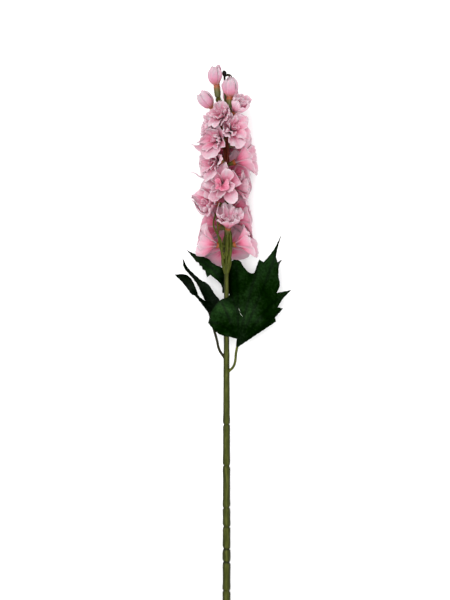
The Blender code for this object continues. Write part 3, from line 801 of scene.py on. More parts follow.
def squeeze(point, seat):
    """Petals that would stand out far to the side, or past the foot of the spike, are folded back."""
    across, along = point.x, point.y
    room = LEFT_ROOM if across < 0 else SIDE_ROOM
    if seat.name in WIDE_FLORETS:
        room = WIDE_ROOM
    excess = abs(across) - room
    if seat.name in TIP_FLORETS and across < 0:
        pulled = min(1.0, max(0.0, (-across - TIP_ROOM) / TIP_ROOM)) ** 2
        along += (TIP_FLORETS[seat.name] - along) * TIP_PULL * pulled
    elif excess > 0:
        across = math.copysign(room + excess * SIDE_SQUEEZE, across)
    edge = FOOT_EDGE - FOOT_DROP * min(1.0, max(0.0, (FOOT_DROP_FROM - across) / FOOT_DROP_WIDTH))
    edge += max(0.0, -across - FOOT_RISE_FROM) * FOOT_SLOPE
    if seat.name in FOOT_FLORETS and along < edge:
        along = edge - (edge - along) * FOOT_SQUEEZE
    return Vector((across, along, point.z))


def cup_opening(cup, number, turn):
    """How far a layer opens at a turn, and how long its petals are there, against the plain cup."""
    seat = cup.seat
    opening, longest = room_between(cup.room, turn)
    least_opening, least_length = FAR_LEAST if seat.layers is BACK_LAYERS else NEAR_LEAST
    if seat.layers is not BUD_LAYERS:
        opening = max(opening, least_opening)
    longest = max(longest, least_length)
    if seat.name in SMOOTH_CUPS:
        opening *= 1 - CUP_LID * max(0.0, math.cos(turn - cup.up_turn)) ** 1.5
        longest *= 1.0 if number == 0 else INNER_CUP
    if seat.name in FAVOURED and number < WHORL_LAYER:
        _, wider, longer = FAVOURED[seat.name]
        near = math.cos(turn - cup.favoured_turn)
        opening *= 1 + wider * near
        longest *= 1 + longer * (near if near > 0 else FAR_SIDE * near)
    return opening, longest


def petal_point(cup, number, petal, habit, tilt, across, along):
    """A petal's point in the floret's own axes, its share of the petal's length and its depth in a fold,
    where shade is painted.
    """
    seat = cup.seat
    layer = seat.layers[number]
    reach = seat.reach * layer.reach
    edge = abs(across)
    width = max(0.0, math.cos(math.pi * across / 2))
    outline = layer.notch + (1 - layer.notch) * width**habit.fullness
    outline *= 1 - habit.point / 2 * edge**POINT_POWER - habit.cleft * math.exp(-(across / CLEFT_WIDTH) ** 2)
    share = along * outline * habit.length
    spread = WHORL_SPREAD if number == WHORL_LAYER else PETAL_SPREAD
    offset = across / 2 * (1 + spread * share)
    turn = turn_of(petal, offset, number) + habit.lean * share**2
    opening, longest = cup_opening(cup, number, turn)
    wave = math.sin(2 * math.pi * (habit.waves * across / 2 + habit.phase + share / 4))
    ripple = math.sin(2 * math.pi * (habit.waves * RIPPLE_RATE * across / 2 + habit.phase * 3))
    frill = math.sin(2 * math.pi * (FRILL_ACROSS * across + habit.phase * 5))
    frill += math.sin(FRILL_ALONG * along + 17 * habit.phase)
    raised = PETAL_CURL * opening * across**2 * share**2 * reach
    raised += (habit.twist * across + habit.cup * across**2) * share
    raised += habit.wave_height * share**1.6 * (0.55 + 0.45 * edge) * (wave + RIPPLE_SHARE * ripple)
    raised += RUFFLE * max(along, edge) ** 3 * share * frill
    raised -= habit.roll * max(0, share - ROLL_FROM) ** 2 * reach * opening
    length = reach * share * longest
    bend = tilt * width**2
    if number == WHORL_LAYER and seat.name == NESTED_FLORET:
        length *= WHORL_REACH
        bend += WHORL_BEND * (0.6 + 0.8 * habit.phase)
    elif number == WHORL_LAYER:
        bend += WHORL_BEND * PLAIN_WHORL
    # How deep the point lies in a fold's valley: the material paints shade there.
    fold = 0.5 - 0.35 * wave - 0.15 * ripple
    return petal_place(seat, number, length, opening, bend, raised, turn), share, fold


def lay_petal(cup, planes, number, place, share):
    """Where a petal's point lies on the spike: pressed by its neighbours, folded in, and off the floor."""
    seat = cup.seat
    if seat.name == TULIP_BUD:
        place = Vector((place.x * TULIP_WAIST, place.y * TULIP_WAIST, place.z))
    free = seat.base + cup.axes @ place
    point = free.lerp(press(free, planes, number), min(1.0, share / PRESSED_FROM))
    if seat.layers in (FRONT_LAYERS, BACK_LAYERS):
        point = squeeze(point, seat)
    world = PLACE @ point
    if world.z < FLOOR_CLEAR:
        point = PLACE.inverted() @ Vector((world.x, world.y, FLOOR_CLEAR))
    return point


def petal_colour(seat, number, habit, share, fold, across, along):
    """What the fabric is coloured by at a point of a petal, in the order that petal_values takes."""
    margin = max(along, abs(across)) ** 6
    if seat.layers is BUD_LAYERS:
        margin = 0.9 * along**3 + 0.5 * abs(across) ** 8
    if number == WHORL_LAYER:
        margin *= 0.3
        # In the whorl, painted shade deepens the colour in the fold valleys.
        share = 0.12 + (0.50 if seat.name == NESTED_FLORET else 0.60) * share - 0.14 * fold
    tone = habit.tone + LAYER_TONE * number + (CUP_TONE if seat.name in DEEP_FLORETS else 0)
    return share, margin, tone, fold


def pin_head(seat):
    """The small core in the throat that holds the layers on the stalk, standing on the origin."""
    top = LAYER_LIFT * (len(seat.layers) - 1) + CORE_SHEET + PIN_RISE
    core = draw_out(14, PIN_RADIUS, [(level * top, wide * PIN_RADIUS) for level, wide in PIN_PROFILE])
    # The core takes the nearly black red of the petals' roots, partly painted shade in the throat.
    petal_values(core.data, 0.02, 0.0, 0.0, 0.0)
    return core


def bud_heart(seat):
    """The rolled inner petals of a bud, seen only through the gaps at its tip."""
    deselect()
    bpy.ops.mesh.primitive_uv_sphere_add(segments=20, ring_count=12, radius=seat.reach)
    wide, tall = HEART_SIZE
    heart = fit_new((wide, wide, tall), (0, 0, HEART_MIDDLE * seat.reach))
    bpy.ops.object.mode_set(mode="OBJECT")
    along = []
    folds = []
    for vert in heart.data.vertices:
        fold = 0.5 + 0.5 * math.sin(PETALS * math.atan2(vert.co.y, vert.co.x) + HEART_ROLL * vert.co.z)
        along.append(vert.co.z / seat.reach + 0.1)
        folds.append(fold)
        vert.co.x *= 1 + HEART_CREASE * fold
        vert.co.y *= 1 + HEART_CREASE * fold
    petal_values(heart.data, along, 0.0, 0.0, folds)
    return heart


def make_floret(seat, planes, draw, habits, blank, material, index):
    """Fabric petals shaped from the blank, layer inside layer, on their core."""
    cup = make_cup(seat, planes, draw.uniform(0, 2 * math.pi))
    flare = TULIP_FLARE if seat.name == TULIP_BUD else 0
    tilts = []
    petal_habits = []
    for number in range(len(seat.layers)):
        tilts.append([flare + draw.uniform(-PETAL_TILT, PETAL_TILT) for _ in range(PETALS)])
        petal_habits.append([petal_habit(habits, petal_kind(seat, number)) for _ in range(PETALS)])
    mesh = blank.data.copy()
    petals = link_object(seat.name + "_petals", mesh)
    cut = mesh.uv_layers[0]
    cut.name = "petal_map"
    for loop in mesh.loops:
        flat = mesh.vertices[loop.vertex_index].co
        cut.data[loop.index].uv = (flat.x * 12 + index * 61, flat.y * 32 + index * 17)
    colours = []
    for vert in mesh.vertices:
        petal = round(vert.co.x / BLANK_STEP)
        number = round((vert.co.y - 0.5) / BLANK_STEP)
        across = vert.co.x - petal * BLANK_STEP
        along = vert.co.y - number * BLANK_STEP
        habit = petal_habits[number][petal]
        place, share, fold = petal_point(cup, number, petal, habit, tilts[number][petal], across, along)
        vert.co = lay_petal(cup, planes, number, place, share)
        colours.append(petal_colour(seat, number, habit, share, fold, across, along))
    petal_values(mesh, *zip(*colours))
    sheet = petals.modifiers.new("fabric", "SOLIDIFY")
    sheet.thickness = SHEET
    sheet.offset = 0
    apply_all(petals)
    middle = bud_heart(seat) if seat.layers is BUD_LAYERS else pin_head(seat)
    middle.data.transform(Matrix.Translation(seat.base) @ cup.axes.to_4x4())
    floret = join_pieces(seat.name + "_petals", [petals, middle])
    smooth(floret)
    return settle(floret, "petal_fabric", material, seat.name)


def make_florets(seats, weave):
    """All florets and buds, each in the room between its neighbours, and the loose thread."""
    pink = petal_material("pink_petal_fabric", OPEN_COLOURS, 0.75, weave)
    bud_pink = petal_material("pink_bud_fabric", BUD_COLOURS, 0.6, weave)
    upright = Vector((0, math.sin(REST_TILT), math.cos(REST_TILT)))
    floor = (Vector((0, 0, -STEM_RADII[0][1] * MM)), upright)
    draw = random.Random(FLORET_SEED)
    blanks = {count: petal_blank(count) for count in (1, 2, 3)}
    for index, seat in enumerate(seats):
        planes = separating_planes(seat, seats, floor)
        fabric = bud_pink if seat.layers is BUD_LAYERS else pink
        habits = random.Random(HABIT_SEED + index)
        make_floret(seat, planes, draw, habits, blanks[len(seat.layers)], fabric, index)
    for blank in blanks.values():
        bpy.data.objects.remove(blank)
    make_thread(pink)


def make_thread(material):
    """A thin curl of frayed petal fabric that stands out at the left."""
    thread = round_wire("loose_thread", [route_of(LOOSE_THREAD)])
    point_values(thread.data, "petal_along", 0.95)
    return settle(thread, "petal_fabric", material, "floret_third_left")


# Calyxes and stalks

def calyx_model(length):
    """A green calyx with five low lobes round its mouth, standing on the origin and facing up."""
    fat = BUD_TUBE if length == BUD_CALYX else 1.0
    rings = [
        (level * length, wide * (fat + (1 - fat) * level) * CALYX_RADIUS) for level, wide in CALYX_RINGS
    ]
    calyx = draw_out(20, CALYX_FOOT * CALYX_RADIUS, rings)
    along = []
    for vert in calyx.data.vertices:
        share = vert.co.z / length
        along.append(share)
        lobe = math.cos(PETALS / 2 * math.atan2(vert.co.y, vert.co.x)) ** 2
        wider = 1 + (CALYX_RIB * (lobe - 0.5) if share < 0.9 else 0)
        if share > 0.97:
            vert.co.z += (0.5 + 1.1 * lobe) * MM
            wider *= 1 + CALYX_LOBE * lobe
        vert.co.x *= wider
        vert.co.y *= wider
    point_values(calyx.data, "calyx_along", along)
    return calyx


def make_calyxes(seats, material):
    """The calyxes, each copied from its model to its seat."""
    models = {FLORET_CALYX: calyx_model(FLORET_CALYX), BUD_CALYX: calyx_model(BUD_CALYX)}
    copies = []
    for number, seat in enumerate(seats):
        calyx = link_object(f"calyx_{number}", models[seat.calyx].data.copy())
        top = seat.base - seat.facing * SEAT_GAP
        axes = floret_axes(seat, number * 1.3).to_4x4()
        calyx.data.transform(Matrix.Translation(top - seat.facing * seat.calyx) @ axes)
        copies.append(calyx)
    for model in models.values():
        bpy.data.objects.remove(model)
    calyxes = join_pieces("calyxes", copies)
    smooth(calyxes, 50)
    return settle(calyxes, "moulded_stem", material, "main_stem")


def make_flower_stalks(seats, material):
    """The stalks of all florets and buds, and the others that the photograph shows among them."""
    routes = []
    for seat in seats:
        start, beside, calyx = stalk_path(seat)[:3]
        radius = STALK_RADIUS * (BUD_STALK if seat.layers is BUD_LAYERS else 1.0)
        if seat.base.y < FOOT_BUNDLE:
            radius = STALK_RADIUS * FOOT_STALK
            beside = beside + seat.out * 0.7 * MM
        routes.append([
            (start, 1.25 * radius),
            (start.lerp(beside, 0.5) + seat.out * 0.8 * MM, 1.05 * radius),
            (beside, 0.95 * radius),
            (calyx - seat.facing * 2.5 * MM, 1.0 * radius),
            (calyx + seat.facing * 1.0 * MM, 1.05 * STALK_RADIUS),
        ])
    routes += [route_of(pedicel) for pedicel in PEDICELS]
    return settle(round_wire("flower_stalks", routes), "moulded_stem", material, "main_stem")


def leaf_height(x, y, heights):
    """Height of a leaf's middle surface: the stated heights, blended by their distance."""
    total = weight_sum = 0.0
    for across, along, above in heights:
        squared = (x / MM - across) ** 2 + (y / MM - along) ** 2 + HEIGHT_BLEND**2
        weight = squared**-1.5
        total += weight * above * MM
        weight_sum += weight
    return total / weight_sum


def make_leaf_stalks(light, dark):
    """The two leaf stalks. The left one is nearly black, as painted shade."""
    for side, route, heights, material in (
        ("right", RIGHT_STALK, RIGHT_LEAF_HEIGHTS, light),
        # The left stalk takes the tip's nearly black material as painted shade.
        ("left", LEFT_STALK, LEFT_LEAF_HEIGHTS, dark),
    ):
        end_x, end_y = route[-1]
        blade = leaf_height(end_x * MM, end_y * MM, heights)
        end_height = blade - LEAF_THICKNESS / 2 - STALK_CLEARANCE - LEAF_STALK_RADIUS * MM
        level = len(route) - 2
        points = []
        for index, (x, y) in enumerate(route):
            place = Vector((x * MM, y * MM, end_height * min(1, index / level)))
            thick = LEAF_STALK_FOOT[index] if index < len(LEAF_STALK_FOOT) else 1.0
            points.append((place, LEAF_STALK_RADIUS * STALK_SWELL * MM * thick))
        settle(round_wire(f"leaf_stalk_{side}", [points]), "moulded_stem", material, "main_stem")


# The stem

def taper(along):
    """Radius of the stem's cover between its joints, in millimetres."""
    for (start, first), (end, second) in zip(STEM_RADII, STEM_RADII[1:]):
        if start <= along <= end:
            return first + (second - first) * (along - start) / (end - start)
    return STEM_RADII[-1][1]


def cover_radius(along):
    """The cover's radius: it swells a little on both sides of a joint and is pinched at it."""
    radius = taper(along) * (COVER_SWELL if along < STEM_END / 2 else 1)
    for joint in STEM_JOINTS:
        away = abs(along - joint)
        radius -= taper(joint) * JOINT_PINCH * math.exp(-(away / 1.1) ** 2)
        radius += taper(joint) * JOINT_BULGE * math.exp(-((away - 5.5) / 3.6) ** 2)
    return radius


def stem_rings():
    """Places along the stem with its radius there, closer together at the foot and at the joints."""
    places = [2.0 * step for step in range(1, 13)] + [6.0 * step for step in range(5, 111)]
    places = [place for place in places if min(abs(place - joint) for joint in STEM_JOINTS) > 5.5]
    for joint in STEM_JOINTS:
        places += [joint + step for step in JOINT_STEPS]
    places = sorted(place for place in places if 1.0 < place < STEM_END)
    rings = [(0.5, cover_radius(0.5) * 0.985)] + [(place, cover_radius(place)) for place in places]
    return rings + list(END_BUD)


def stem_shade_and_joint_marks(along, turn):
    """How dark the stem is: painted shade at its sides and underneath, and dark marks at its joints."""
    marked = 0.0
    for joint in STEM_JOINTS:
        depth = 0.75 if joint in MARKED_JOINTS else 0.2
        marked = max(marked, depth * math.exp(-((along - joint) / 1.4) ** 2))
    # Painted shade: the sides and the underside are darker, as the light from above leaves them.
    painted_side_shade = 0.98 * (abs(math.cos(turn)) ** 1.3 if math.sin(turn) > 0 else 1.0)
    return min(1.0, painted_side_shade + marked)


def make_stem(material):
    """The moulded stem, drawn out ring by ring from its cut foot, with its seam, slight waves and lean."""
    rings = [(place * MM, wide * MM) for place, wide in stem_rings()]
    stem = draw_out(24, 0.90 * cover_radius(0) * MM, rings)
    stem.data.transform(Matrix.Rotation(-math.pi / 2, 4, "X"))
    sides = []
    for vert in stem.data.vertices:
        along = vert.co.y / MM
        turn = math.atan2(vert.co.z, vert.co.x)
        sides.append(stem_shade_and_joint_marks(along, turn))
        seam = 1 + (STEM_SEAM * math.exp(-(math.sin(turn) / 0.16) ** 2) if along < STEM_END else 0)
        uneven = 1 + 0.012 * math.sin(along * 0.31 + 2 * turn) + 0.010 * math.sin(along * 0.117 + 3 * turn)
        vert.co.x *= seam * uneven
        vert.co.z *= seam * uneven
        if along > 10:
            vert.co.y += RING_SLANT * math.sin(along * 0.7) * vert.co.x
        lean = max(0, along - LEAN_START) / (STEM_END - LEAN_START)
        vert.co.x -= TIP_LEAN * MM * lean**2
    # The painted side shade and the joint marks, which the material reads.
    point_values(stem.data, "stem_shade_and_joint_marks", sides)
    smooth(stem, 50)
    stem.name = "stem"
    return settle(stem, "moulded_stem", material, "main_stem")


def make_tip(material):
    """The dark curved sliver over the topmost bud."""
    return settle(round_wire("tip_sliver", [route_of(TIP_HOOK)]), "moulded_stem", material, "main_stem")


# Leaves

def rounded_outline(outline):
    """The outline with curved sides. Its teeth and tips stay sharp, and its long sides ripple slightly."""
    corners = [Vector(corner) for corner in outline]
    count = len(corners)
    tangents = []
    for index, corner in enumerate(corners):
        before = corner - corners[index - 1]
        after = corners[(index + 1) % count] - corner
        gentle = before.angle(after) < GENTLE_TURN
        tangents.append((corners[(index + 1) % count] - corners[index - 1]) / 2 if gentle else None)
    points = []
    for index, corner in enumerate(corners):
        after = (index + 1) % count
        end = corners[after]
        side = end - corner
        start_way = (tangents[index] or side).normalized() * side.length
        end_way = (tangents[after] or side).normalized() * side.length
        steps = max(1, round(side.length / OUTLINE_STEP))
        outward = Vector((side.y, -side.x)).normalized()
        for step in range(steps):
            t = step / steps
            point = corner * (2 * t**3 - 3 * t**2 + 1) + end * (3 * t**2 - 2 * t**3)
            point += start_way * (t**3 - 2 * t**2 + t) + end_way * (t**3 - t**2)
            if step:
                point += outward * EDGE_RIPPLE * math.sin(5.1 * index + 2.3 * step)
            points.append(point)
    return points


def vein_lines(mains):
    """The main veins, and side veins that branch off them towards the margin."""
    lines = [[Vector(point) for point in main] for main in mains]
    sides = []
    for line in lines:
        walked = 0.0
        hand = 1
        for start, end in zip(line, line[1:]):
            way = (end - start).normalized()
            length = (end - start).length
            place = VEIN_STEP - walked % VEIN_STEP
            while place < length:
                root = start + way * place
                turned = Matrix.Rotation(VEIN_ANGLE * hand, 2) @ way
                sides.append([root, root + turned * 7 + way * -0.8, root + turned * 13])
                hand = -hand
                place += VEIN_STEP
            walked += length
    return lines, sides


def line_distance(point, lines):
    """The distance from a point to the nearest of some lines of points."""
    nearest = 100.0
    for line in lines:
        for start, end in zip(line, line[1:]):
            side = end - start
            share = max(0.0, min(1.0, (point - start).dot(side) / side.length_squared))
            nearest = min(nearest, (start + side * share - point).length)
    return nearest


def leaf_sheet(points):
    """A flat thin sheet of fine cells that covers the outline."""
    low = Vector((min(p.x for p in points) - 2, min(p.y for p in points) - 2))
    high = Vector((max(p.x for p in points) + 2, max(p.y for p in points) + 2))
    size = high - low
    middle = (low + high) / 2
    deselect()
    bpy.ops.mesh.primitive_grid_add(
        x_subdivisions=round(size.x / LEAF_CELL), y_subdivisions=round(size.y / LEAF_CELL), size=1
    )
    sheet = fit_new((size.x, size.y, 1), (middle.x, middle.y, -LEAF_SHEET / 2))
    thicken_up(LEAF_SHEET)
    return sheet


def leaf_die(points):
    """A tall block of the outline, which cuts the leaf from its sheet."""
    deselect()
    bpy.ops.mesh.primitive_circle_add(vertices=len(points), radius=1, fill_type="NGON")
    die = bpy.context.object
    for vert, point in zip(die.data.vertices, points):
        vert.co = (point.x, point.y, -DIE_HEIGHT / 2)
    bpy.ops.object.mode_set(mode="EDIT")
    thicken_up(DIE_HEIGHT)
    return die


def make_leaf(node, outline, heights, veins, shade, material):
    """A blade cut from a sheet with a die of its outline, then pressed with veins and bent to its heights.
    Painted shade is laid over it by the given amount, and as painted shadow beside the stem.
    """
    points = rounded_outline(outline)
    blade = leaf_sheet(points)
    die = leaf_die(points)
    choose(blade)
    cut = blade.modifiers.new("die_cut", "BOOLEAN")
    cut.operation = "INTERSECT"
    cut.object = die
    cut.solver = "EXACT"
    bpy.ops.object.modifier_apply(modifier=cut.name)
    bpy.data.objects.remove(die)
    bpy.ops.object.mode_set(mode="EDIT")
    bpy.ops.mesh.select_all(action="SELECT")
    bpy.ops.mesh.quads_convert_to_tris()
    bpy.ops.object.mode_set(mode="OBJECT")
    mains, sides = vein_lines(veins)
    border = [points + points[:1]]
    values = []
    for vert in blade.data.vertices:
        flat = Vector((vert.co.x, vert.co.y))
        main_away = line_distance(flat, mains)
        side_away = line_distance(flat, sides)
        edge_away = line_distance(flat, border)
        vein = max(math.exp(-(main_away / 1.9) ** 2), 0.6 * math.exp(-(side_away / 0.9) ** 2))
        # Painted shadow where the leaf lies beside the stem, and painted shade over a whole leaf that lies in
        # shade.
        shadow_beside_stem = math.exp(-((flat.x - 1) / 8) ** 2) * min(1.0, max(0.0, (flat.y - 390) / 14))
        values.append((vein, math.exp(-edge_away / 1.5), max(shade, 0.85 * shadow_beside_stem)))
        above = leaf_height(flat.x * MM, flat.y * MM, heights)
        relief = MAIN_RELIEF * (1 - math.exp(-(main_away / 4.5) ** 2))
        relief += SIDE_RELIEF * (1 - math.exp(-(side_away / 2.2) ** 2))
        relief += LEAF_RIPPLE * math.sin(flat.x * 0.33 + flat.y * 0.21) * math.exp(-edge_away / 5)
        vert.co = (flat.x * MM, flat.y * MM, above + (vert.co.z + relief - LEAF_RIPPLE) * MM)
    for name, column in zip(("vein", "leaf_edge", "leaf_painted_shade"), zip(*values)):
        point_values(blade.data, name, column)
    smooth(blade, 60)
    blade.name = node + "_blade"
    return settle(blade, "leaf_fabric", material, node)


def make_creases(material):
    """Two short raised creases on the large leaf, coloured pale as a painted highlight."""
    routes = []
    for crease in LEAF_CREASES:
        knots = []
        for (x, y), radius in zip(crease, CREASE_RADII):
            above = leaf_height(x * MM, y * MM, RIGHT_LEAF_HEIGHTS) / MM + CREASE_RISE
            knots.append(((x, y, above), radius))
        routes.append(route_of(knots))
    return settle(round_wire("leaf_creases", routes), "leaf_fabric", material, "leaf_right")


# Materials

def feed(tree, node, sockets):
    """A node's sockets given values, or linked where the value is another node's output."""
    for name, value in sockets.items():
        if isinstance(value, bpy.types.NodeSocket):
            tree.links.new(value, node.inputs[name])
        else:
            node.inputs[name].default_value = value


def add_node(tree, kind, sockets=None, **settings):
    """A node with its settings and its sockets. The nodes fill columns of three from left to right."""
    column, row = divmod(len(tree.nodes), 3)
    node = tree.nodes.new(kind)
    node.location = (260 * column, -340 * row)
    for name, value in settings.items():
        setattr(node, name, value)
    feed(tree, node, sockets or {})
    return node


def new_group(name, values, results):
    """A node group with a vector and some values going in and some results coming out."""
    group = bpy.data.node_groups.new(name, "ShaderNodeTree")
    group.interface.new_socket("Vector", in_out="INPUT", socket_type="NodeSocketVector")
    for value in values:
        group.interface.new_socket(value, in_out="INPUT", socket_type="NodeSocketFloat")
    for result in results:
        group.interface.new_socket(result, in_out="OUTPUT", socket_type="NodeSocketFloat")
    entry = add_node(group, "NodeGroupInput")
    leave = add_node(group, "NodeGroupOutput")
    return group, entry.outputs, leave


def noise(tree, vector, scale, detail=2.0):
    """Soft cloudy noise."""
    sockets = {"Vector": vector, "Scale": scale, "Detail": detail}
    return add_node(tree, "ShaderNodeTexNoise", sockets).outputs["Fac"]


def map_range(tree, value, start, end, low=0.0, high=1.0):
    """A value that goes from low to high while the given one goes from start to end."""
    sockets = {"Value": value, "From Min": start, "From Max": end, "To Min": low, "To Max": high}
    return add_node(tree, "ShaderNodeMapRange", sockets).outputs["Result"]


def math_node(tree, operation, *values, clamp=False):
    """A sum or product of sockets and numbers."""
    node = add_node(tree, "ShaderNodeMath", operation=operation, use_clamp=clamp)
    feed(tree, node, dict(enumerate(values)))
    return node.outputs[0]


def weave_group():
    """Fine plain weave of the fabric: its height and its light and dark threads."""
    group, entry, leave = new_group("fabric_weave", ("Threads", "Crinkle"), ("Height", "Mottle"))
    threads = []
    for direction in "XY":
        sockets = {"Vector": entry["Vector"], "Scale": entry["Threads"], "Distortion": 0.6, "Detail": 1.0}
        wave = add_node(group, "ShaderNodeTexWave", sockets, bands_direction=direction)
        threads.append(wave.outputs["Fac"])
    cross = math_node(group, "MULTIPLY", *threads)
    fold = noise(group, entry["Vector"], entry["Crinkle"], 3.0)
    soften = math_node(group, "MULTIPLY", cross, 0.25)
    feed(group, leave, {"Height": math_node(group, "ADD", soften, fold), "Mottle": fold})
    return group


def mottle_group():
    """Uneven tone of a finish: broad cloudy patches with fine grain over them, from 0 to 1."""
    group, entry, leave = new_group("uneven_tone", ("Patch Scale", "Grain Scale"), ("Tone", "Grain"))
    patches = noise(group, entry["Vector"], entry["Patch Scale"], 4.0)
    grain = noise(group, entry["Vector"], entry["Grain Scale"], 4.0)
    sockets = {"Factor": 0.3, "A": patches, "B": grain}
    blend = add_node(group, "ShaderNodeMix", sockets, data_type="FLOAT")
    spread = map_range(group, blend.outputs["Result"], 0.32, 0.68)
    feed(group, leave, {"Tone": spread, "Grain": grain})
    return group


def place_group(tree, group, vector, **values):
    """A group placed in a material, with its own values."""
    node = add_node(tree, "ShaderNodeGroup", node_tree=group)
    feed(tree, node, {"Vector": vector, **{name.replace("_", " "): value for name, value in values.items()}})
    return node.outputs


def new_material(name):
    """A new material, with its tree and its shader."""
    material = bpy.data.materials.new(name)
    material.use_nodes = True
    return material, material.node_tree, material.node_tree.nodes["Principled BSDF"]


def on_object(tree):
    """The place on the object, for textures that fill space."""
    return add_node(tree, "ShaderNodeTexCoord").outputs["Object"]


def stretch(tree, vector, scale):
    """A vector drawn out by a scale along each axis."""
    return add_node(tree, "ShaderNodeMapping", {"Vector": vector, "Scale": scale}).outputs["Vector"]


def colour_ramp(tree, value, stops):
    """Colours by a value: (position, screen colour) from low to high."""
    ramp = add_node(tree, "ShaderNodeValToRGB", {"Fac": value})
    elements = ramp.color_ramp.elements
    elements[0].position = stops[0][0]
    elements[0].color = srgb(*stops[0][1])
    elements[1].position = stops[-1][0]
    elements[1].color = srgb(*stops[-1][1])
    for position, colour in stops[1:-1]:
        element = elements.new(position)
        element.color = srgb(*colour)
    return ramp.outputs["Color"]


def read_value(tree, name):
    """A value that the mesh holds at its vertices."""
    node = add_node(tree, "ShaderNodeAttribute", attribute_name=name, attribute_type="GEOMETRY")
    return node.outputs["Fac"]


def mix_colour(tree, factor, first, second):
    """A colour socket mixed with a screen colour, by a factor socket."""
    mix = add_node(tree, "ShaderNodeMix", data_type="RGBA")
    tree.links.new(factor, mix.inputs[0])
    tree.links.new(first, mix.inputs[6])
    mix.inputs[7].default_value = srgb(*second)
    return mix.outputs[2]


def add_relief(tree, shader, height, strength, distance):
    """Fine relief of a finish, whose distance is in millimetres."""
    sockets = {"Height": height, "Strength": strength, "Distance": distance * MM}
    bump = add_node(tree, "ShaderNodeBump", sockets)
    tree.links.new(bump.outputs["Normal"], shader.inputs["Normal"])


def petal_material(name, stops, fold_shade_strength, weave):
    """Thin pink fabric: deepest at the root, partly as painted shade in the throat, clear pink, and pale
    greyish pink at the margins, with painted shade in its folds.
    """
    material, tree, shader = new_material(name)
    along = read_value(tree, "petal_along")
    margin = read_value(tree, "petal_margin")
    tone = read_value(tree, "petal_tone")
    fold = read_value(tree, "petal_fold_shade")
    cut = add_node(tree, "ShaderNodeUVMap", uv_map="petal_map").outputs["UV"]
    streaks = noise(tree, stretch(tree, cut, (0.9, 0.07, 1.0)), 1.0, 3.0)
    cloth = place_group(tree, weave, cut, Threads=1.1, Crinkle=0.35)
    shift = math_node(tree, "MULTIPLY_ADD", streaks, 0.34, -0.17)
    deeper = math_node(tree, "MULTIPLY", tone, 0.035)
    shifted = math_node(tree, "ADD", along, shift)
    shifted = math_node(tree, "SUBTRACT", shifted, deeper, clamp=True)
    colour = colour_ramp(tree, shifted, stops)
    pale = math_node(tree, "MULTIPLY", margin, 0.70)
    colour = mix_colour(tree, pale, colour, (214, 204, 208))
    shade = math_node(tree, "MULTIPLY", cloth["Mottle"], 0.16)
    colour = mix_colour(tree, shade, colour, (204, 148, 166))
    # Painted shade: deeper pink in the fold valleys, broken up by the streaks.
    streaks_and_fold_shade = math_node(tree, "MULTIPLY", fold, streaks)
    streaks_and_fold_shade = math_node(tree, "MULTIPLY", streaks_and_fold_shade, fold_shade_strength, clamp=True)
    colour = mix_colour(tree, streaks_and_fold_shade, colour, (222, 126, 156))
    add_relief(tree, shader, math_node(tree, "ADD", cloth["Height"], streaks), 0.5, 0.4)
    feed(tree, shader, {
        "Base Color": colour,
        "Roughness": 0.72,
        "Specular IOR Level": 0.25,
        "Subsurface Weight": 0.35,
        "Subsurface Radius": (1.0, 0.45, 0.55),
        "Subsurface Scale": 3.0 * MM,
        "Sheen Weight": 0.15,
        "Sheen Roughness": 0.5,
    })
    return material


def stem_material(tones):
    """Olive plastic, with painted shade at its sides and underneath, dark marks at its joints, painted red
    brown shade among the florets and black at the tip.
    """
    material, tree, shader = new_material("olive_moulded_plastic")
    where = on_object(tree)
    drawn = stretch(tree, where, (1.0, 0.16, 1.0))
    tone = place_group(tree, tones, drawn, Patch_Scale=420.0, Grain_Scale=1600.0)
    up_stem = add_node(tree, "ShaderNodeSeparateXYZ", {"Vector": where}).outputs["Y"]
    # Painted shade: red brown where the stem and stalks lie in the shade among the florets.
    among = map_range(tree, up_stem, SHADED_FROM, SHADED_FROM + 60 * MM, 0.0, 0.94)
    clear = map_range(tree, up_stem, CLEAR_FROM, CLEAR_FROM + 20 * MM, 1.0, 0.2)
    at_tip = map_range(tree, up_stem, BLACK_FROM, BLACK_FROM + 10 * MM)
    shaded = math_node(tree, "MULTIPLY", among, clear)
    colour = colour_ramp(tree, tone["Tone"], STEM_COLOURS)
    # Painted shade at the stem's sides and underneath, with its dark joint marks.
    side = read_value(tree, "stem_shade_and_joint_marks")
    colour = mix_colour(tree, side, colour, (22, 26, 0))
    colour = mix_colour(tree, shaded, colour, (88, 24, 12))
    colour = mix_colour(tree, at_tip, colour, (10, 10, 4))
    rough = map_range(tree, tone["Grain"], 0.0, 1.0, 0.42, 0.62)
    add_relief(tree, shader, tone["Grain"], 0.35, 0.25)
    feed(tree, shader, {"Base Color": colour, "Roughness": rough, "Specular IOR Level": 0.10})
    return material


def calyx_material(tones):
    """Olive plastic that turns orange brown towards the calyx's mouth."""
    material, tree, shader = new_material("calyx_plastic")
    where = on_object(tree)
    tone = place_group(tree, tones, where, Patch_Scale=260.0, Grain_Scale=1400.0)
    along = read_value(tree, "calyx_along")
    shift = math_node(tree, "MULTIPLY", tone["Tone"], 0.25)
    colour = colour_ramp(tree, math_node(tree, "ADD", along, shift), CALYX_COLOURS)
    add_relief(tree, shader, tone["Grain"], 0.3, 0.2)
    feed(tree, shader, {"Base Color": colour, "Roughness": 0.55})
    return material


def tip_material(tones):
    """The tip's nearly black green."""
    material, tree, shader = new_material("dark_tip_plastic")
    where = on_object(tree)
    tone = place_group(tree, tones, where, Patch_Scale=500.0, Grain_Scale=2000.0)
    colour = colour_ramp(tree, tone["Tone"], ((0.0, (14, 16, 8)), (1.0, (52, 48, 24))))
    feed(tree, shader, {"Base Color": colour, "Roughness": 0.5, "Specular IOR Level": 0.08})
    return material


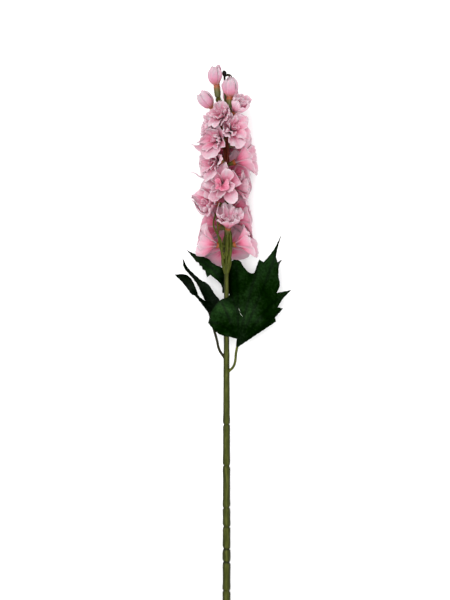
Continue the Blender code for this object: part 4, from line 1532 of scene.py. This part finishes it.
def leaf_material(weave, tones):
    """Very dark green pressed fabric with lighter patches that are partly painted sheen, painted shade in the
    folds along the veins and over shaded parts, and a slight sheen.
    """
    material, tree, shader = new_material("dark_leaf_fabric")
    where = on_object(tree)
    vein = read_value(tree, "vein")
    edge = read_value(tree, "leaf_edge")
    shade = read_value(tree, "leaf_painted_shade")
    tone = place_group(tree, tones, where, Patch_Scale=34.0, Grain_Scale=420.0)["Tone"]
    cloth = place_group(tree, weave, where, Threads=1100.0, Crinkle=300.0)
    # Uneven tone: its lighter patches are partly painted sheen, where the real sheen below is also strongest.
    colour = colour_ramp(tree, tone, LEAF_COLOURS)
    # Painted shade in the folds along the veins.
    line = math_node(tree, "MULTIPLY", vein, 0.75)
    colour = mix_colour(tree, line, colour, (0, 7, 0))
    dark = math_node(tree, "MULTIPLY", edge, 0.6)
    colour = mix_colour(tree, dark, colour, (0, 4, 0))
    # Painted shade over the left leaf and painted shadow beside the stem.
    colour = mix_colour(tree, shade, colour, (0, 3, 0))
    add_relief(tree, shader, cloth["Height"], 0.45, 0.3)
    rough = map_range(tree, tone, 0.0, 1.0, 0.48, 0.68)
    sheen = map_range(tree, tone, 0.35, 1.0, 0.0, 0.09)
    feed(tree, shader, {"Base Color": colour, "Roughness": rough, "Specular IOR Level": sheen})
    return material


def highlight_crease_material():
    """Glossy and whitish, a little uneven: a painted highlight on the leaf's creases."""
    material, tree, shader = new_material("crease_painted_highlight")
    where = on_object(tree)
    clouds = noise(tree, where, 900.0)
    colour = colour_ramp(tree, clouds, ((0.0, (96, 112, 92)), (1.0, (186, 192, 180))))
    feed(tree, shader, {"Base Color": colour, "Roughness": 0.2})
    return material


def floor_material():
    """Plain white paper, a little uneven in tone."""
    material, tree, shader = new_material("pale_paper")
    where = on_object(tree)
    clouds = noise(tree, where, 40.0)
    colour = colour_ramp(tree, clouds, ((0.0, (272, 272, 272)), (1.0, (278, 278, 278))))
    feed(tree, shader, {"Base Color": colour, "Roughness": 0.9, "Specular IOR Level": 0.1})
    return material


# Camera, light and floor

def add_camera():
    """Straight above the spray, with the photograph's upright along the stem."""
    view = bpy.data.cameras.new("camera")
    view.sensor_fit = "VERTICAL"
    view.sensor_height = SENSOR
    view.lens = SENSOR * CAMERA_HEIGHT / (PHOTO_HEIGHT * PIXEL)
    camera = link_object("camera", view)
    centre = PLACE @ Vector((PHOTO_CENTRE[0], PHOTO_CENTRE[1], 0))
    camera.location = centre + Vector((0, 0, CAMERA_HEIGHT))
    bpy.context.scene.camera = camera


def add_lights():
    """A broad soft light overhead, a weaker one from the side and an even surrounding light."""
    for name, place, size, power in (
        ("key_light", (-0.7, 0.5, 2.9), 2.4, 78),
        ("side_light", (1.6, -0.3, 1.5), 1.4, 10),
    ):
        light = bpy.data.lights.new(name, "AREA")
        light.size = size
        light.energy = power
        lamp = link_object(name, light)
        lamp.location = place
        lamp.rotation_euler = (-Vector(place)).to_track_quat("-Z", "Y").to_euler()
    world = bpy.data.worlds.new("studio")
    world.use_nodes = True
    feed(world.node_tree, world.node_tree.nodes["Background"], {"Color": (1, 1, 1, 1), "Strength": SURROUND})
    bpy.context.scene.world = world
    bpy.context.scene.view_settings.view_transform = "Standard"


def add_floor():
    """The pale floor that the spray lies on."""
    deselect()
    bpy.ops.mesh.primitive_plane_add(size=6, location=(0, 0, -FLOOR_DROP))
    floor = bpy.context.object
    floor.name = "floor"
    floor.data.transform(Matrix.Translation(floor.location))
    floor.location = (0, 0, 0)
    floor.data.materials.append(floor_material())


def main():
    """The whole scene: the spray's pieces, then the floor, the camera and the lights."""
    weave = weave_group()
    tones = mottle_group()
    plastic = stem_material(tones)
    dark = tip_material(tones)
    green = leaf_material(weave, tones)
    seats = all_seats()
    make_stem(plastic)
    make_tip(dark)
    make_flower_stalks(seats, plastic)
    make_calyxes(seats, calyx_material(tones))
    make_leaf_stalks(plastic, dark)
    make_leaf("leaf_right", RIGHT_LEAF_OUTLINE, RIGHT_LEAF_HEIGHTS, RIGHT_LEAF_VEINS, 0.0, green)
    # The left leaf gets painted shade all over.
    make_leaf("leaf_left", LEFT_LEAF_OUTLINE, LEFT_LEAF_HEIGHTS, LEFT_LEAF_VEINS, LEFT_LEAF_PAINTED_SHADE, green)
    make_creases(highlight_crease_material())
    make_florets(seats, weave)
    add_floor()
    add_camera()
    add_lights()


main()
